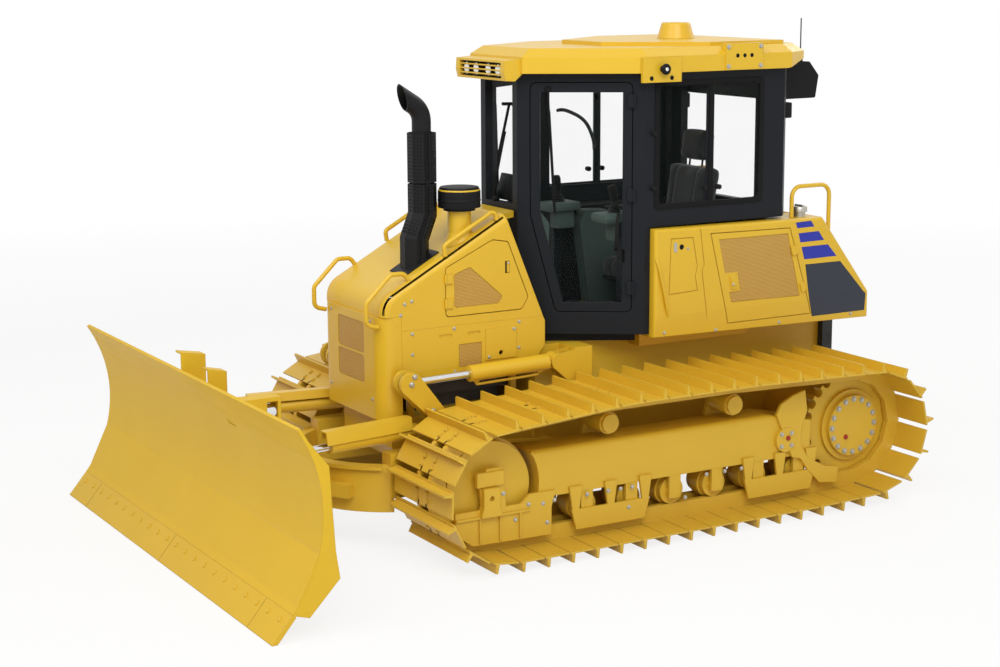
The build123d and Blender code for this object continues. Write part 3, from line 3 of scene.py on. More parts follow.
import bmesh
import bpy
from mathutils import Matrix, Vector


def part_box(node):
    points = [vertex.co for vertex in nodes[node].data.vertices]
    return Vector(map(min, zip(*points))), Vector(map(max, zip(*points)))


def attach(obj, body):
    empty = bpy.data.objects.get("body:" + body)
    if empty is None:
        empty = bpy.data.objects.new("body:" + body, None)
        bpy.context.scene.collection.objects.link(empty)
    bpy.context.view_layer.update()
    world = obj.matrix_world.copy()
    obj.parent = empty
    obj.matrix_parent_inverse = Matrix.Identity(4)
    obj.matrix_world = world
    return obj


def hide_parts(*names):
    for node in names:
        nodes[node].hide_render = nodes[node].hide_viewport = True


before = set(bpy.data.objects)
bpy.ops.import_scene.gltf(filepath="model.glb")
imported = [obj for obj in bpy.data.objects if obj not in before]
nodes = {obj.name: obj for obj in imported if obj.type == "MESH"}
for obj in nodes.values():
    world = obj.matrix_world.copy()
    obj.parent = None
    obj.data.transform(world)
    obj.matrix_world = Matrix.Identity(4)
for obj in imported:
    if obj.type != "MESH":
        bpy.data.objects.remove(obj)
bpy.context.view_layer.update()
print("frame loaded with", len(nodes), "nodes")


class Val:
    # one output socket, with the maths operators written as nodes
    def __init__(self, finish, socket):
        self.finish = finish
        self.socket = socket

    def maths(self, kind, first, second=None):
        return self.finish.node("ShaderNodeMath", {"operation": kind}, {0: first, 1: second})

    def __add__(self, other):
        return self.maths("ADD", self, other)

    def __sub__(self, other):
        return self.maths("SUBTRACT", self, other)

    def __rsub__(self, other):
        return self.maths("SUBTRACT", other, self)

    def __mul__(self, other):
        return self.maths("MULTIPLY", self, other)

    def __truediv__(self, other):
        return self.maths("DIVIDE", self, other)

    def __lt__(self, other):
        return self.maths("LESS_THAN", self, other)

    __radd__ = __add__
    __rmul__ = __mul__

    def clamped(self):
        return self.finish.node("ShaderNodeClamp", None, {0: self})

    def fraction(self):
        return self.maths("FRACT", self)

    def whole(self):
        return self.maths("FLOOR", self)

    def size(self):
        return self.maths("ABSOLUTE", self)


class Finish:
    # one material; node() makes any node from its type, settings and inputs
    def __init__(self, name):
        self.material = bpy.data.materials.new(name)
        self.material.use_nodes = True
        self.tree = self.material.node_tree
        self.tree.nodes.clear()
        self.where = self.node("ShaderNodeTexCoord", out="Object")

    def node(self, kind, settings=None, inputs=None, out=0):
        made = self.tree.nodes.new(kind)
        for key, value in (settings or {}).items():
            setattr(made, key, value)
        for key, value in (inputs or {}).items():
            if isinstance(value, Val):
                self.tree.links.new(value.socket, made.inputs[key])
            elif value is not None:
                made.inputs[key].default_value = value
        return Val(self, made.outputs[out]) if made.outputs else None

    def noise(self, scale, detail=3.0, rough=0.55, where=None):
        return self.node("ShaderNodeTexNoise", None, {
            "Vector": where or self.where, "Scale": scale, "Detail": detail, "Roughness": rough})

    def stretch(self, x, y, z):
        return self.node("ShaderNodeMapping", None, {"Vector": self.where, "Scale": (x, y, z)})

    def axis(self, index):
        return self.node("ShaderNodeSeparateXYZ", None, {0: self.where}, out=index)

    def mix(self, factor, first, second):
        return self.node("ShaderNodeMix", {"data_type": "RGBA"}, {0: factor, 6: first, 7: second}, out=2)

    def edges(self, radius, gain):
        # bright along convex edges, from the difference between rounded and true normals
        rounded = self.node("ShaderNodeBevel", {"samples": 4}, {"Radius": radius})
        true = self.node("ShaderNodeNewGeometry", out="Normal")
        same = self.node("ShaderNodeVectorMath", {"operation": "DOT_PRODUCT"},
                         {0: rounded, 1: true}, out="Value")
        return ((1 - same) * gain).clamped(), rounded

    def bump(self, height, strength, distance, normal=None):
        return self.node("ShaderNodeBump", None, {
            "Strength": strength, "Distance": distance, "Height": height, "Normal": normal})

    def surface(self, inputs):
        shader = self.node("ShaderNodeBsdfPrincipled", None, inputs)
        self.node("ShaderNodeOutputMaterial", None, {"Surface": shader})
        return self.material


def srgb(r, g, b):
    # a colour as seen on screen, 0 to 255, in linear light
    def linear(c):
        c = c / 255
        return c / 12.92 if c <= 0.04045 else ((c + 0.055) / 1.055) ** 2.4
    return (linear(r), linear(g), linear(b), 1)


def paintFinish(name, look):
    f = Finish(name)
    broad = f.noise(look["patch"], 4)
    fine = f.noise(38, 4)
    peel = f.noise(210, 2)
    edge, rounded = f.edges(look["edgeRadius"], 5.5)
    low = ((look["dustTop"] - f.axis(2)) / look["dustTop"]).clamped()
    dust = (low * look["dust"] * (fine * 0.9 + 0.35) + (broad - 0.55).clamped() * look["film"]).clamped()
    worn = (edge * (fine * 2.2 - 0.62)).clamped() * look["wear"]
    shade = f.mix((broad * 0.8).clamped(), look["colour"], look["second"])
    shade = f.mix(dust, shade, look["dustColour"])
    shade = f.mix(worn, shade, look["wornColour"])
    return f.surface({
        "Base Color": shade,
        "Roughness": (look["rough"] + (fine - 0.5) * 0.16 + dust * 0.35 + worn * 0.1).clamped(),
        "Coat Weight": (look["coat"] * (1 - dust)).clamped(),
        "Coat Roughness": 0.12,
        "Specular IOR Level": look["shine"],
        "Normal": f.bump(peel + fine * 0.5, 0.06, 0.002, rounded),
    })


yellowLook = {"colour": srgb(226, 185, 46), "second": srgb(219, 176, 38), "patch": 2.2, "edgeRadius": 0.006,
              "dust": 0.10, "dustTop": 1.3, "film": 0.06, "dustColour": srgb(178, 148, 84),
              "wear": 0.22, "wornColour": srgb(202, 160, 66), "rough": 0.36, "coat": 0.06, "shine": 0.4}
frameLook = dict(yellowLook, colour=srgb(223, 182, 46), second=srgb(213, 171, 38), dust=0.16, dustTop=1.1,
                 coat=0.03, rough=0.42, wear=0.34)
trackLook = dict(frameLook, colour=srgb(222, 181, 50), second=srgb(211, 169, 42), dust=0.18, wear=0.5,
                 wornColour=srgb(170, 142, 84), rough=0.42)
bladeLook = dict(yellowLook, colour=srgb(225, 184, 48), second=srgb(216, 174, 40), dust=0.08, dustTop=0.9,
                 rough=0.5, shine=0.14)
# the hole colour is painted shade, as seen down the perforations
screenLook = {"sheet": srgb(212, 166, 74), "dirt": srgb(200, 154, 66), "hole": srgb(128, 96, 44),
              "pitch": 0.0085, "open": 0.3}
cabLook = {"colour": srgb(27, 30, 35), "second": srgb(22, 25, 30), "patch": 3.0, "edgeRadius": 0.005,
           "dust": 0.05, "dustTop": 2.6, "film": 0.08, "dustColour": srgb(84, 84, 82), "wear": 0.25,
           "wornColour": srgb(66, 68, 72), "rough": 0.42, "coat": 0.0, "shine": 0.14}
blackLook = dict(cabLook, colour=srgb(22, 22, 24), second=srgb(18, 18, 20), rough=0.5)
# black rubber; this colour also serves as painted shade in holes, slots and vents
rubberAndShadeLook = dict(blackLook, colour=srgb(17, 17, 18), second=srgb(14, 14, 15), rough=0.62)
heatLook = dict(blackLook, colour=srgb(30, 30, 31), second=srgb(24, 24, 25), rough=0.46, wear=0.4,
                wornColour=srgb(88, 76, 62))
trimLook = dict(cabLook, colour=srgb(84, 100, 95), second=srgb(72, 88, 84), rough=0.55)
edgeLook = dict(bladeLook, colour=srgb(223, 182, 48), second=srgb(214, 172, 42), wear=0.4,
                wornColour=srgb(160, 138, 94), rough=0.42)
stripeLook = dict(yellowLook, colour=srgb(34, 46, 168), second=srgb(30, 42, 158), dust=0.02, wear=0.06,
                  film=0.02)
navyLook = dict(stripeLook, colour=srgb(38, 44, 58), second=srgb(34, 40, 54))
redLook = dict(yellowLook, colour=srgb(172, 38, 26), second=srgb(156, 32, 22), dust=0.05, wear=0.1)


def screenFinish(name, look):
    # perforated sheet, with staggered round holes along the two axes that the sheet spans; the holes are
    # painted a darker colour as painted shade, over a bump
    f = Finish(name)
    across, up = (f.axis(index) / look["pitch"] for index in look["axes"])
    across = across + up.whole() * 0.5
    du, dv = across.fraction() - 0.5, up.fraction() - 0.5
    hole = (du * du + dv * dv) < look["open"] * look["open"]
    dirt = f.noise(9, 4)
    shade = f.mix((dirt * 0.5).clamped(), look["sheet"], look["dirt"])
    # the holes are painted darker, as painted shade
    return f.surface({"Base Color": f.mix(hole, shade, look["hole"]),
                      "Roughness": (0.45 + dirt * 0.2).clamped(),
                      "Normal": f.bump(1 - hole, 0.5, 0.002)})


def chromeFinish():
    f = Finish("platedRod")
    lines = f.noise(420, 2, where=f.stretch(0.15, 1, 1))
    smear = f.noise(14, 3)
    return f.surface({"Base Color": f.mix(smear * 0.5, srgb(226, 228, 230), srgb(196, 196, 192)),
                      "Metallic": 1.0,
                      "Roughness": (0.08 + lines * 0.08 + smear * 0.08).clamped(),
                      "Normal": f.bump(lines, 0.03, 0.001)})


def boltFinish():
    f = Finish("platedBolts")
    fine = f.noise(90, 3)
    edge, rounded = f.edges(0.002, 6)
    return f.surface({"Base Color": f.mix((fine * 0.9).clamped(), srgb(206, 205, 198), srgb(150, 146, 132)),
                      "Metallic": 0.9, "Roughness": (0.28 + fine * 0.25 + edge * 0.1).clamped(),
                      "Normal": f.bump(fine, 0.08, 0.001, rounded)})


def castFinish():
    f = Finish("castIron")
    grain = f.noise(160, 4)
    oil = f.noise(5, 4)
    return f.surface({"Base Color": f.mix((oil * 1.2 - 0.2).clamped(), srgb(84, 84, 82), srgb(46, 44, 42)),
                      "Metallic": 0.4, "Roughness": (0.5 + grain * 0.3).clamped(),
                      "Normal": f.bump(grain, 0.35, 0.003)})


def coreFinish():
    # fins and tubes of the radiator core, as fine crossing lines
    f = Finish("radiatorCore")
    fins = ((f.axis(1) * 260).fraction() - 0.5).size() * 2
    tubes = ((f.axis(2) * 60).fraction() - 0.5).size() * 2
    soot = f.noise(7, 4)
    return f.surface({"Base Color": f.mix((soot * 0.9).clamped(), srgb(70, 72, 74), srgb(34, 34, 34)),
                      "Metallic": 0.6, "Roughness": (0.42 + soot * 0.3).clamped(),
                      "Normal": f.bump(fins + tubes, 0.5, 0.004)})


def glassFinish():
    # a clear pane that dims what is behind it a little, towards green
    f = Finish("tintedPane")
    film = f.noise(5, 4)
    return f.surface({"Base Color": f.mix((film * 0.4).clamped(), srgb(38, 66, 56), srgb(62, 84, 74)),
                      "Roughness": (film * 0.06).clamped(), "Alpha": (0.012 + film * 0.02).clamped(),
                      "Specular IOR Level": 1.0})


def lensFinish():
    f = Finish("lampLens")
    ribs = ((f.axis(1) * 70).fraction() - 0.5).size()
    haze = f.noise(40, 3)
    return f.surface({"Base Color": f.mix((haze * 0.6).clamped(), srgb(240, 240, 236), srgb(200, 198, 186)),
                      "Metallic": 0.4, "Roughness": (0.10 + haze * 0.1).clamped(), "Coat Weight": 1.0,
                      "Normal": f.bump(ribs, 0.25, 0.004)})


def clothFinish():
    f = Finish("seatCloth")
    warp = ((f.axis(1) * 420).fraction() - 0.5).size()
    weft = ((f.axis(2) * 420 + f.axis(0) * 420).fraction() - 0.5).size()
    fluff = f.noise(120, 4)
    return f.surface({"Base Color": f.mix((fluff * 0.9).clamped(), srgb(44, 47, 52), srgb(30, 32, 36)),
                      "Roughness": (0.8 + fluff * 0.15).clamped(),
                      "Sheen Weight": 0.3, "Sheen Roughness": 0.4,
                      "Normal": f.bump(warp + weft + fluff * 0.5, 0.4, 0.002)})


finishes = {
    "yellow": paintFinish("yellowPaint", yellowLook),
    "frame": paintFinish("framePaint", frameLook),
    "track": paintFinish("trackPaint", trackLook),
    "blade": paintFinish("bladePaint", bladeLook),
    "cab": paintFinish("cabPaint", cabLook),
    "black": paintFinish("blackPlastic", blackLook),
    "rubberAndShade": paintFinish("blackRubberAndShade", rubberAndShadeLook),
    "heat": paintFinish("exhaustPaint", heatLook),
    "trim": paintFinish("greyTrim", trimLook),
    "edge": paintFinish("edgeSteel", edgeLook),
    "stripe": paintFinish("stripePaint", stripeLook),
    "navy": paintFinish("navyPanel", navyLook),
    "red": paintFinish("redPlug", redLook),
    "sideScreen": screenFinish("sideScreen", dict(screenLook, axes=(0, 2))),
    "frontScreen": screenFinish("frontScreen", dict(screenLook, axes=(1, 2))),
    "chrome": chromeFinish(),
    "bolt": boltFinish(),
    "cast": castFinish(),
    "core": coreFinish(),
    "glass": glassFinish(),
    "lens": lensFinish(),
    "cloth": clothFinish(),
}

nodeFinish = {
    "main_frame": "frame", "track_frame": "frame", "rollers": "frame", "final_drive": "frame",
    "c_frame": "frame", "drawbar": "frame", "blade_swivel": "frame",
    "angle_yoke": "frame", "track": "track", "blade": "blade",
    "cutting_edge": "edge", "cab_frame": "cab", "cab_door": "cab", "cab_floor": "black", "consoles": "trim",
    "air_unit": "black", "antenna": "black", "exhaust_pipe": "heat", "exhaust_guard": "heat",
    "engine_block": "cast", "radiator": "core",
    "lift_rod": "chrome", "angle_rod": "chrome", "tilt_rod": "chrome",
    "operator_seat": "cloth", "cab_glass": "glass", "door_glass": "glass", "roof_lamps": "black",
}

for name, obj in nodes.items():
    plain = name.removesuffix("_left").removesuffix("_right")
    obj.data.materials.clear()
    obj.data.materials.append(finishes[nodeFinish.get(plain, "yellow")])
print("finishes set on", len(nodes), "nodes")


def inScene(name, data):
    obj = bpy.data.objects.new(name, data)
    bpy.context.scene.collection.objects.link(obj)
    return obj


class Piece:
    # one mesh gathered from small shapes, given in millimetres, that rides on a body
    def __init__(self, name, body, finish):
        self.name = name
        self.body = body
        self.finish = finish
        self.mesh = bmesh.new()

    def turned(self, at, axis):
        # a place whose z runs along axis
        return Matrix.Translation(Vector(at)) @ Vector(axis).to_track_quat("Z", "Y").to_matrix().to_4x4()

    def cone(self, at, axis, low, high, length, sides=16):
        place = self.turned(at, axis) @ Matrix.Translation((0, 0, length / 2))
        bmesh.ops.create_cone(self.mesh, cap_ends=True, segments=sides, radius1=low, radius2=high,
                              depth=length, matrix=place)

    def bolt(self, at, axis, width):
        # a washer, a hexagon head and its chamfer
        at, axis = Vector(at), Vector(axis).normalized()
        self.cone(at, axis, width * 0.78, width * 0.74, width * 0.12, 14)
        self.cone(at + axis * width * 0.1, axis, width * 0.56, width * 0.56, width * 0.34, 6)
        self.cone(at + axis * width * 0.44, axis, width * 0.56, width * 0.42, width * 0.07, 6)

    def skin(self, outlines, closed=False):
        # rings of points, joined each to the next, and the last to the first where closed
        rings = [[self.mesh.verts.new(place) for place in outline] for outline in outlines]
        for low, high in zip(rings, rings[1:] + rings[:1] if closed else rings[1:]):
            for i in range(len(low)):
                after = (i + 1) % len(low)
                self.mesh.faces.new((low[i], low[after], high[after], high[i]))
        return rings

    def turnedPart(self, at, axis, profile, sides=32):
        # a profile of (radius, height) pairs spun about an axis
        place = self.turned(at, axis)
        turns = [2 * math.pi * i / sides for i in range(sides)]
        rings = self.skin([[place @ Vector((radius * math.cos(turn), radius * math.sin(turn), height))
                            for turn in turns] for radius, height in profile])
        self.mesh.faces.new(reversed(rings[0]))
        self.mesh.faces.new(rings[-1])

    def slab(self, corners, depth, soften=0.0):
        # a flat outline given in space, thickened along its own normal, with a soft edge
        flat = [self.mesh.verts.new(Vector(corner)) for corner in corners]
        face = self.mesh.faces.new(flat)
        face.normal_update()
        up = face.normal * depth
        grown = bmesh.ops.extrude_face_region(self.mesh, geom=[face])
        moved = [v for v in grown["geom"] if isinstance(v, bmesh.types.BMVert)]
        bmesh.ops.translate(self.mesh, verts=moved, vec=up)
        face.normal_flip()
        if soften:
            rims = [e for e in grown["geom"] if isinstance(e, bmesh.types.BMEdge)]
            bmesh.ops.bevel(self.mesh, geom=rims, offset=soften, segments=2, affect="EDGES", profile=0.6)

    def box(self, low, high, soften=0.0):
        made = bmesh.ops.create_cube(self.mesh, size=1)["verts"]
        low, high = Vector(low), Vector(high)
        for v in made:
            v.co = Vector((low[i] + (v.co[i] + 0.5) * (high[i] - low[i]) for i in range(3)))
        if soften:
            edges = list({e for v in made for e in v.link_edges})
            bmesh.ops.bevel(self.mesh, geom=edges, offset=soften, segments=2, affect="EDGES", profile=0.6)

    def tube(self, points, radius, bend=3, sides=10):
        # a round bar through points, as a bevelled curve turned into mesh
        curve = bpy.data.curves.new("route", "CURVE")
        curve.dimensions = "3D"
        curve.bevel_depth = radius
        curve.bevel_resolution = max(1, sides // 4)
        curve.use_fill_caps = True
        run = curve.splines.new("NURBS")
        run.points.add(len(points) - 1)
        for point, place in zip(run.points, points):
            point.co = (*place, 1)
        run.order_u = bend
        run.use_endpoint_u = True
        run.resolution_u = 8
        route = bpy.data.objects.new("route", curve)
        made = bpy.data.meshes.new_from_object(route)
        self.mesh.from_mesh(made)
        bpy.data.objects.remove(route)
        bpy.data.meshes.remove(made)

    def done(self, smooth=False):
        bmesh.ops.scale(self.mesh, vec=(0.001, 0.001, 0.001), verts=self.mesh.verts)
        bmesh.ops.recalc_face_normals(self.mesh, faces=self.mesh.faces)
        data = bpy.data.meshes.new(self.name)
        self.mesh.to_mesh(data)
        self.mesh.free()
        data.materials.append(finishes[self.finish])
        if smooth:
            data.shade_smooth()
            data.set_sharp_from_angle(angle=math.radians(38))
        obj = inScene(self.name, data)
        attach(obj, self.body)
        return obj


hands = (("left", 1), ("right", -1))
# outer faces of the machine, in millimetres from its middle
planes = {"hood": 405, "flank": 720, "bracket": 745, "mask": 1142}


def sided(points, y, hand):
    # outline points (x, z) on an upright plane at y, wound so that the outline faces outwards
    placed = [(x, hand * y, z) for x, z in points]
    turn = sum(a[0] * b[1] - b[0] * a[1] for a, b in zip(points, points[1:] + points[:1]))
    return placed if (turn < 0) == (hand > 0) else placed[::-1]


def roundedOutline(points, radius, steps=4):
    # an outline with its corners cut to arcs
    made = []
    for before, corner, after in zip(points[-1:] + points[:-1], points, points[1:] + points[:1]):
        corner = Vector(corner)
        inward = (Vector(before) - corner).normalized() * radius
        outward = (Vector(after) - corner).normalized() * radius
        for i in range(steps + 1):
            t = i / steps
            made.append(tuple(corner + inward * (1 - t) ** 2 + outward * t ** 2))
    return made


def facing(outline, outward):
    # the outline, wound so that it faces outward
    normal = (outline[1] - outline[0]).cross(outline[2] - outline[1])
    return outline if normal.dot(outward) > 0 else outline[::-1]


def sidePlate(name, body, finish, outline, y, sign, depth, soften):
    # a flat plate on an upright plane of the machine's side
    plate = Piece(name, body, finish)
    plate.slab(sided(outline, y, sign), depth, soften)
    plate.done()


def spun(name, body, finish, at, axis, profile, sides, smooth=False):
    # one turned part as a piece of its own
    piece = Piece(name, body, finish)
    piece.turnedPart(at, axis, profile, sides)
    piece.done(smooth)


# shoe bolts, set on the outer face of each shoe, which is found in the track's own mesh, and dark patches as
# painted shade in each shoe's two slots
shoeBolts = {"width": 24, "across": (-62, 62), "along": (-22, 26), "leastArea": 0.03, "slotAcross": (-46, 46),
             "slotAlong": 52, "slot": (15, 7)}
for hand, sign in hands:
    trackMesh = nodes["track_" + hand].data
    low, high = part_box("track_" + hand)
    middle = (Vector(low) + Vector(high)) / 2
    plates = {}
    for face in trackMesh.polygons:
        away = (face.center - middle) * Vector((0.3, 0, 1))
        if abs(face.normal.y) < 0.02 and face.area > shoeBolts["leastArea"] and face.normal.dot(away) > 0:
            key = tuple(round(c, 2) for c in face.normal) + (round(face.normal.dot(face.center), 3),)
            plates.setdefault(key, []).extend(trackMesh.vertices[i].co for i in face.vertices)
    bolts = Piece("shoeBolts_" + hand, "chassis", "track")
    shadePatches = Piece("shoeSlotShades_" + hand, "chassis", "rubberAndShade")
    for key, corners in plates.items():
        unique = {tuple(round(c, 4) for c in corner) for corner in corners}
        centre = sum((Vector(c) for c in unique), Vector()) / len(unique)
        outward = Vector(key[:3]).normalized()
        along = Vector((0, 1, 0)).cross(outward)
        middleOfShoe = Vector((centre.x, middle.y, centre.z)) * 1000
        for across in shoeBolts["across"]:
            for run in shoeBolts["along"]:
                bolts.bolt(middleOfShoe + Vector((0, across, 0)) + along * run, outward, shoeBolts["width"])
        # dark oval patches: painted shade where the shoe's slots are
        for across in shoeBolts["slotAcross"]:
            at = middleOfShoe + Vector((0, across, 0)) + along * shoeBolts["slotAlong"]
            reach, half = shoeBolts["slot"]
            turns = [math.pi * (i + 0.5) / 8 for i in range(16)]
            outline = [at + Vector((0, 1, 0)) * half * math.sin(t) + along * half * math.cos(t)
                       + along * (reach - half) * math.copysign(1, math.cos(t)) for t in turns]
            shadePatches.slab(facing(outline, outward), 0.6)
    bolts.done()
    shadePatches.done()
print("shoe bolts set on", len(plates), "shoes a side")

# bolts of the frame, the drives and the covers
sprocket = {"x": -1974.6, "z": 477, "y": 1032, "ring": 176, "count": 16, "first": 0, "bolt": 26}
pivotCover = {"x": -1379.6, "z": 470, "y": 1091, "ring": 56, "count": 4, "first": math.pi / 4, "bolt": 20}
guardBolts = {"y": 1083, "width": 18, "places": [
    (-30, 330), (-120, 330), (-205, 330), (120, 330), (400, 200), (430, 320), (530, 330), (620, 250),
    (350, 330), (760, 300), (700, 420), (790, 520), (-760, 330), (-900, 330), (-1030, 330), (-600, 205),
    (-180, 205)]}
for hand, sign in hands:
    bolts = Piece("frameBolts_" + hand, "chassis", "bolt")
    for cover in (sprocket, pivotCover):
        for i in range(cover["count"]):
            turn = cover["first"] + 2 * math.pi * i / cover["count"]
            bolts.bolt((cover["x"] + cover["ring"] * math.cos(turn), sign * cover["y"],
                        cover["z"] + cover["ring"] * math.sin(turn)), (0, sign, 0), cover["bolt"])
    for x, z in guardBolts["places"]:
        bolts.bolt((x, sign * guardBolts["y"], z), (0, sign, 0), guardBolts["width"])
    bolts.done()
    plugs = Piece("drainPlugs_" + hand, "chassis", "red")
    for x, z, y in ((pivotCover["x"] - 12, pivotCover["z"] + 10, pivotCover["y"]),
                    (sprocket["x"] + 60, sprocket["z"] - 70, sprocket["y"])):
        plugs.turnedPart((x, sign * y, z), (0, sign, 0), [(17, -1), (17, 4), (12, 5), (12, 12), (9, 14)], 12)
    plugs.done()
print("frame bolts and plugs set")

# perforated screens in the recesses of the doors and the mask
screens = {"depth": 3, "sunk": 5.6, "soften": 0.8, "corner": 18, "rearCorner": 8, "panelCorner": 12,
           "engine": [(637, 1410), (637, 1610), (532, 1647), (305, 1450), (332, 1410)],
           "rear": [(-1206, 1320), (-1188, 1386), (-1279, 1388), (-1252, 1508), (-1152, 1508), (-1101, 1728),
                    (-1648, 1726), (-1756, 1312)],
           "panel": [(455, 1039), (609, 1039), (609, 1178), (455, 1178)],
           "mask": ((-178, 178, 962, 1126), (-178, 178, 1144, 1330))}
for hand, sign in hands:
    for kind, body, y, corner in (("engine", "engine_door_" + hand, planes["hood"], screens["corner"]),
                                  ("rear", "rear_door_" + hand, planes["flank"], screens["rearCorner"]),
                                  ("panel", "chassis", planes["hood"], screens["panelCorner"])):
        sidePlate(kind + "Screen_" + hand, body, "sideScreen", roundedOutline(screens[kind], corner),
                  y - screens["sunk"], sign, screens["depth"], screens["soften"])
panel = Piece("maskScreens", "chassis", "frontScreen")
for low, high, foot, top in screens["mask"]:
    outline = roundedOutline([(low, foot), (high, foot), (high, top), (low, top)], screens["corner"])
    x = planes["mask"] - screens["sunk"]
    panel.slab([(x, y, z) for y, z in outline], screens["depth"], screens["soften"])
panel.done()
print("screens set")

# square holes of the exhaust guard, on its eight sides, as dark patches of painted shade
guardHoleShades = {"size": 11, "pitch": 21, "columns": (-20, 0, 20), "apothem": 81.3, "proud": 0.7, "y": 195,
              "runs": (((796, 1830), (742, 1952)), ((740, 1985), (740, 2136)), ((740, 2172), (740, 2446)))}
holes = Piece("guardHoleShades", "chassis", "rubberAndShade")
for start, end in guardHoleShades["runs"]:
    start, end = (Vector((p[0], guardHoleShades["y"], p[1])) for p in (start, end))
    along = (end - start).normalized()
    forward = Vector((0, 1, 0)).cross(along)
    rows = int((end - start).length // guardHoleShades["pitch"])
    for side in range(8):
        turn = side * math.pi / 4
        out = forward * math.cos(turn) + Vector((0, 1, 0)) * math.sin(turn)
        across = along.cross(out)
        for row in range(rows + 1):
            for column in guardHoleShades["columns"]:
                if side in (2, 6) and column == 0:
                    continue  # the flange stands here
                centre = start + along * (row + 0.3) * guardHoleShades["pitch"] + out * (guardHoleShades["apothem"] - 1)
                centre = centre + across * column
                half = guardHoleShades["size"] / 2
                quad = [centre + across * a * half + along * b * half
                        for a, b in ((-1, -1), (1, -1), (1, 1), (-1, 1))]
                # each hole is a dark patch of painted shade
                holes.slab(quad, 1 + guardHoleShades["proud"])
holes.done()

# black drum of the air cleaner over its yellow duct
cleaner = {"at": (535, 285, 0), "sides": 40, "band": [(131, 2040), (132, 2042), (132, 2050), (131, 2052)],
           "body": [(60, 1984), (97.5, 1984), (97.5, 2003), (129.5, 2003), (130, 2008), (130, 2100),
                    (127, 2108), (117.5, 2126), (60, 2130.5), (20, 2131)]}
drum = Piece("cleanerDrum", "chassis", "black")
for profile in (cleaner["body"], cleaner["band"]):
    drum.turnedPart(cleaner["at"], (0, 0, 1), profile, cleaner["sides"])
drum.done(smooth=True)
print("exhaust guard and air cleaner set")

# stripes and the dark panel on the rear flanks, which bend inwards below the flank's fold
flank = {"seat": planes["flank"] - 0.2, "proud": 0.9, "soften": 0.2,
         "fold": 1278, "foldIn": 13, "foldDrop": 183}
stripes = ([(-1711, 1794), (-1837, 1798), (-1866, 1758), (-1725, 1756)],
           [(-1736, 1722), (-1903, 1725), (-1950, 1663), (-1753, 1661)],
           [(-1764, 1630), (-1984, 1631), (-2058, 1549), (-1788, 1547)])
darkPanel = {"upper": [(-1798, 1513), (-2091, 1512), (-2300, 1290), (-2318, 1278), (-1838, 1278)],
             "lower": [(-1838, 1278), (-2318, 1278), (-2318, 1161), (-1871, 1161)]}


def flankY(z):
    fall = max(0, flank["fold"] - z) / flank["foldDrop"]
    return planes["flank"] - flank["foldIn"] * fall


for hand, sign in hands:
    bands = Piece("flankStripes_" + hand, "chassis", "stripe")
    for outline in stripes:
        bands.slab(sided(outline, flank["seat"], sign), flank["proud"], flank["soften"])
    bands.done()
    panel = Piece("flankPanel_" + hand, "chassis", "navy")
    panel.slab(sided(darkPanel["upper"], flank["seat"], sign), flank["proud"], flank["soften"])
    lower = [(x, sign * (flankY(z) - 0.2), z) for x, y, z in sided(darkPanel["lower"], flank["seat"], sign)]
    panel.slab(lower, flank["proud"], flank["soften"])
    panel.done()
print("stripes set")

# latches, knobs and small covers
panelBolts = {"width": 15,
              "side": ((978, 1461), (1006, 1397), (931, 1475), (643, 1281), (188, 1280), (189, 1117),
                       (930, 1276), (930, 1150), (640, 1015)),
              "hatch": ((404, 1080), (226, 1240)), "hatchY": 411, "mask": ((270, 1352), (285, 880)),
              "flank": ((-1090, 1148), (-1600, 1148), (-2200, 1148), (-690, 1170))}
latches = {"engine": [(255, 1591), (283, 1591), (283, 1664), (255, 1664)],
           "enginePull": [(256, 1593), (272, 1593), (272, 1662), (256, 1662)],
           "rear": [(-1200, 1400), (-1264, 1402), (-1242, 1496), (-1180, 1496)],
           "rearPull": [(-1206, 1418), (-1246, 1420), (-1232, 1478), (-1194, 1478)],
           "engineLock": [(7, -1), (7, 3), (5, 4)], "rearLock": [(9, -1), (9, 3), (7, 4.5)]}
filler = {"well": [(16.5, -1), (16.5, 17), (14, 17.6)], "wellAt": (-810, 702, 1705), "y": 719.7,
          "plate": [(-750, 1676), (-774, 1676), (-774, 1736), (-750, 1736)], "bolt": (-858, 1690)}
cornerStrip = {"radius": 9, "route": ((-618, 716, 1640), (-622, 735, 1612), (-655, 738, 1490),
                                      (-700, 735, 1300), (-708, 714, 1272))}
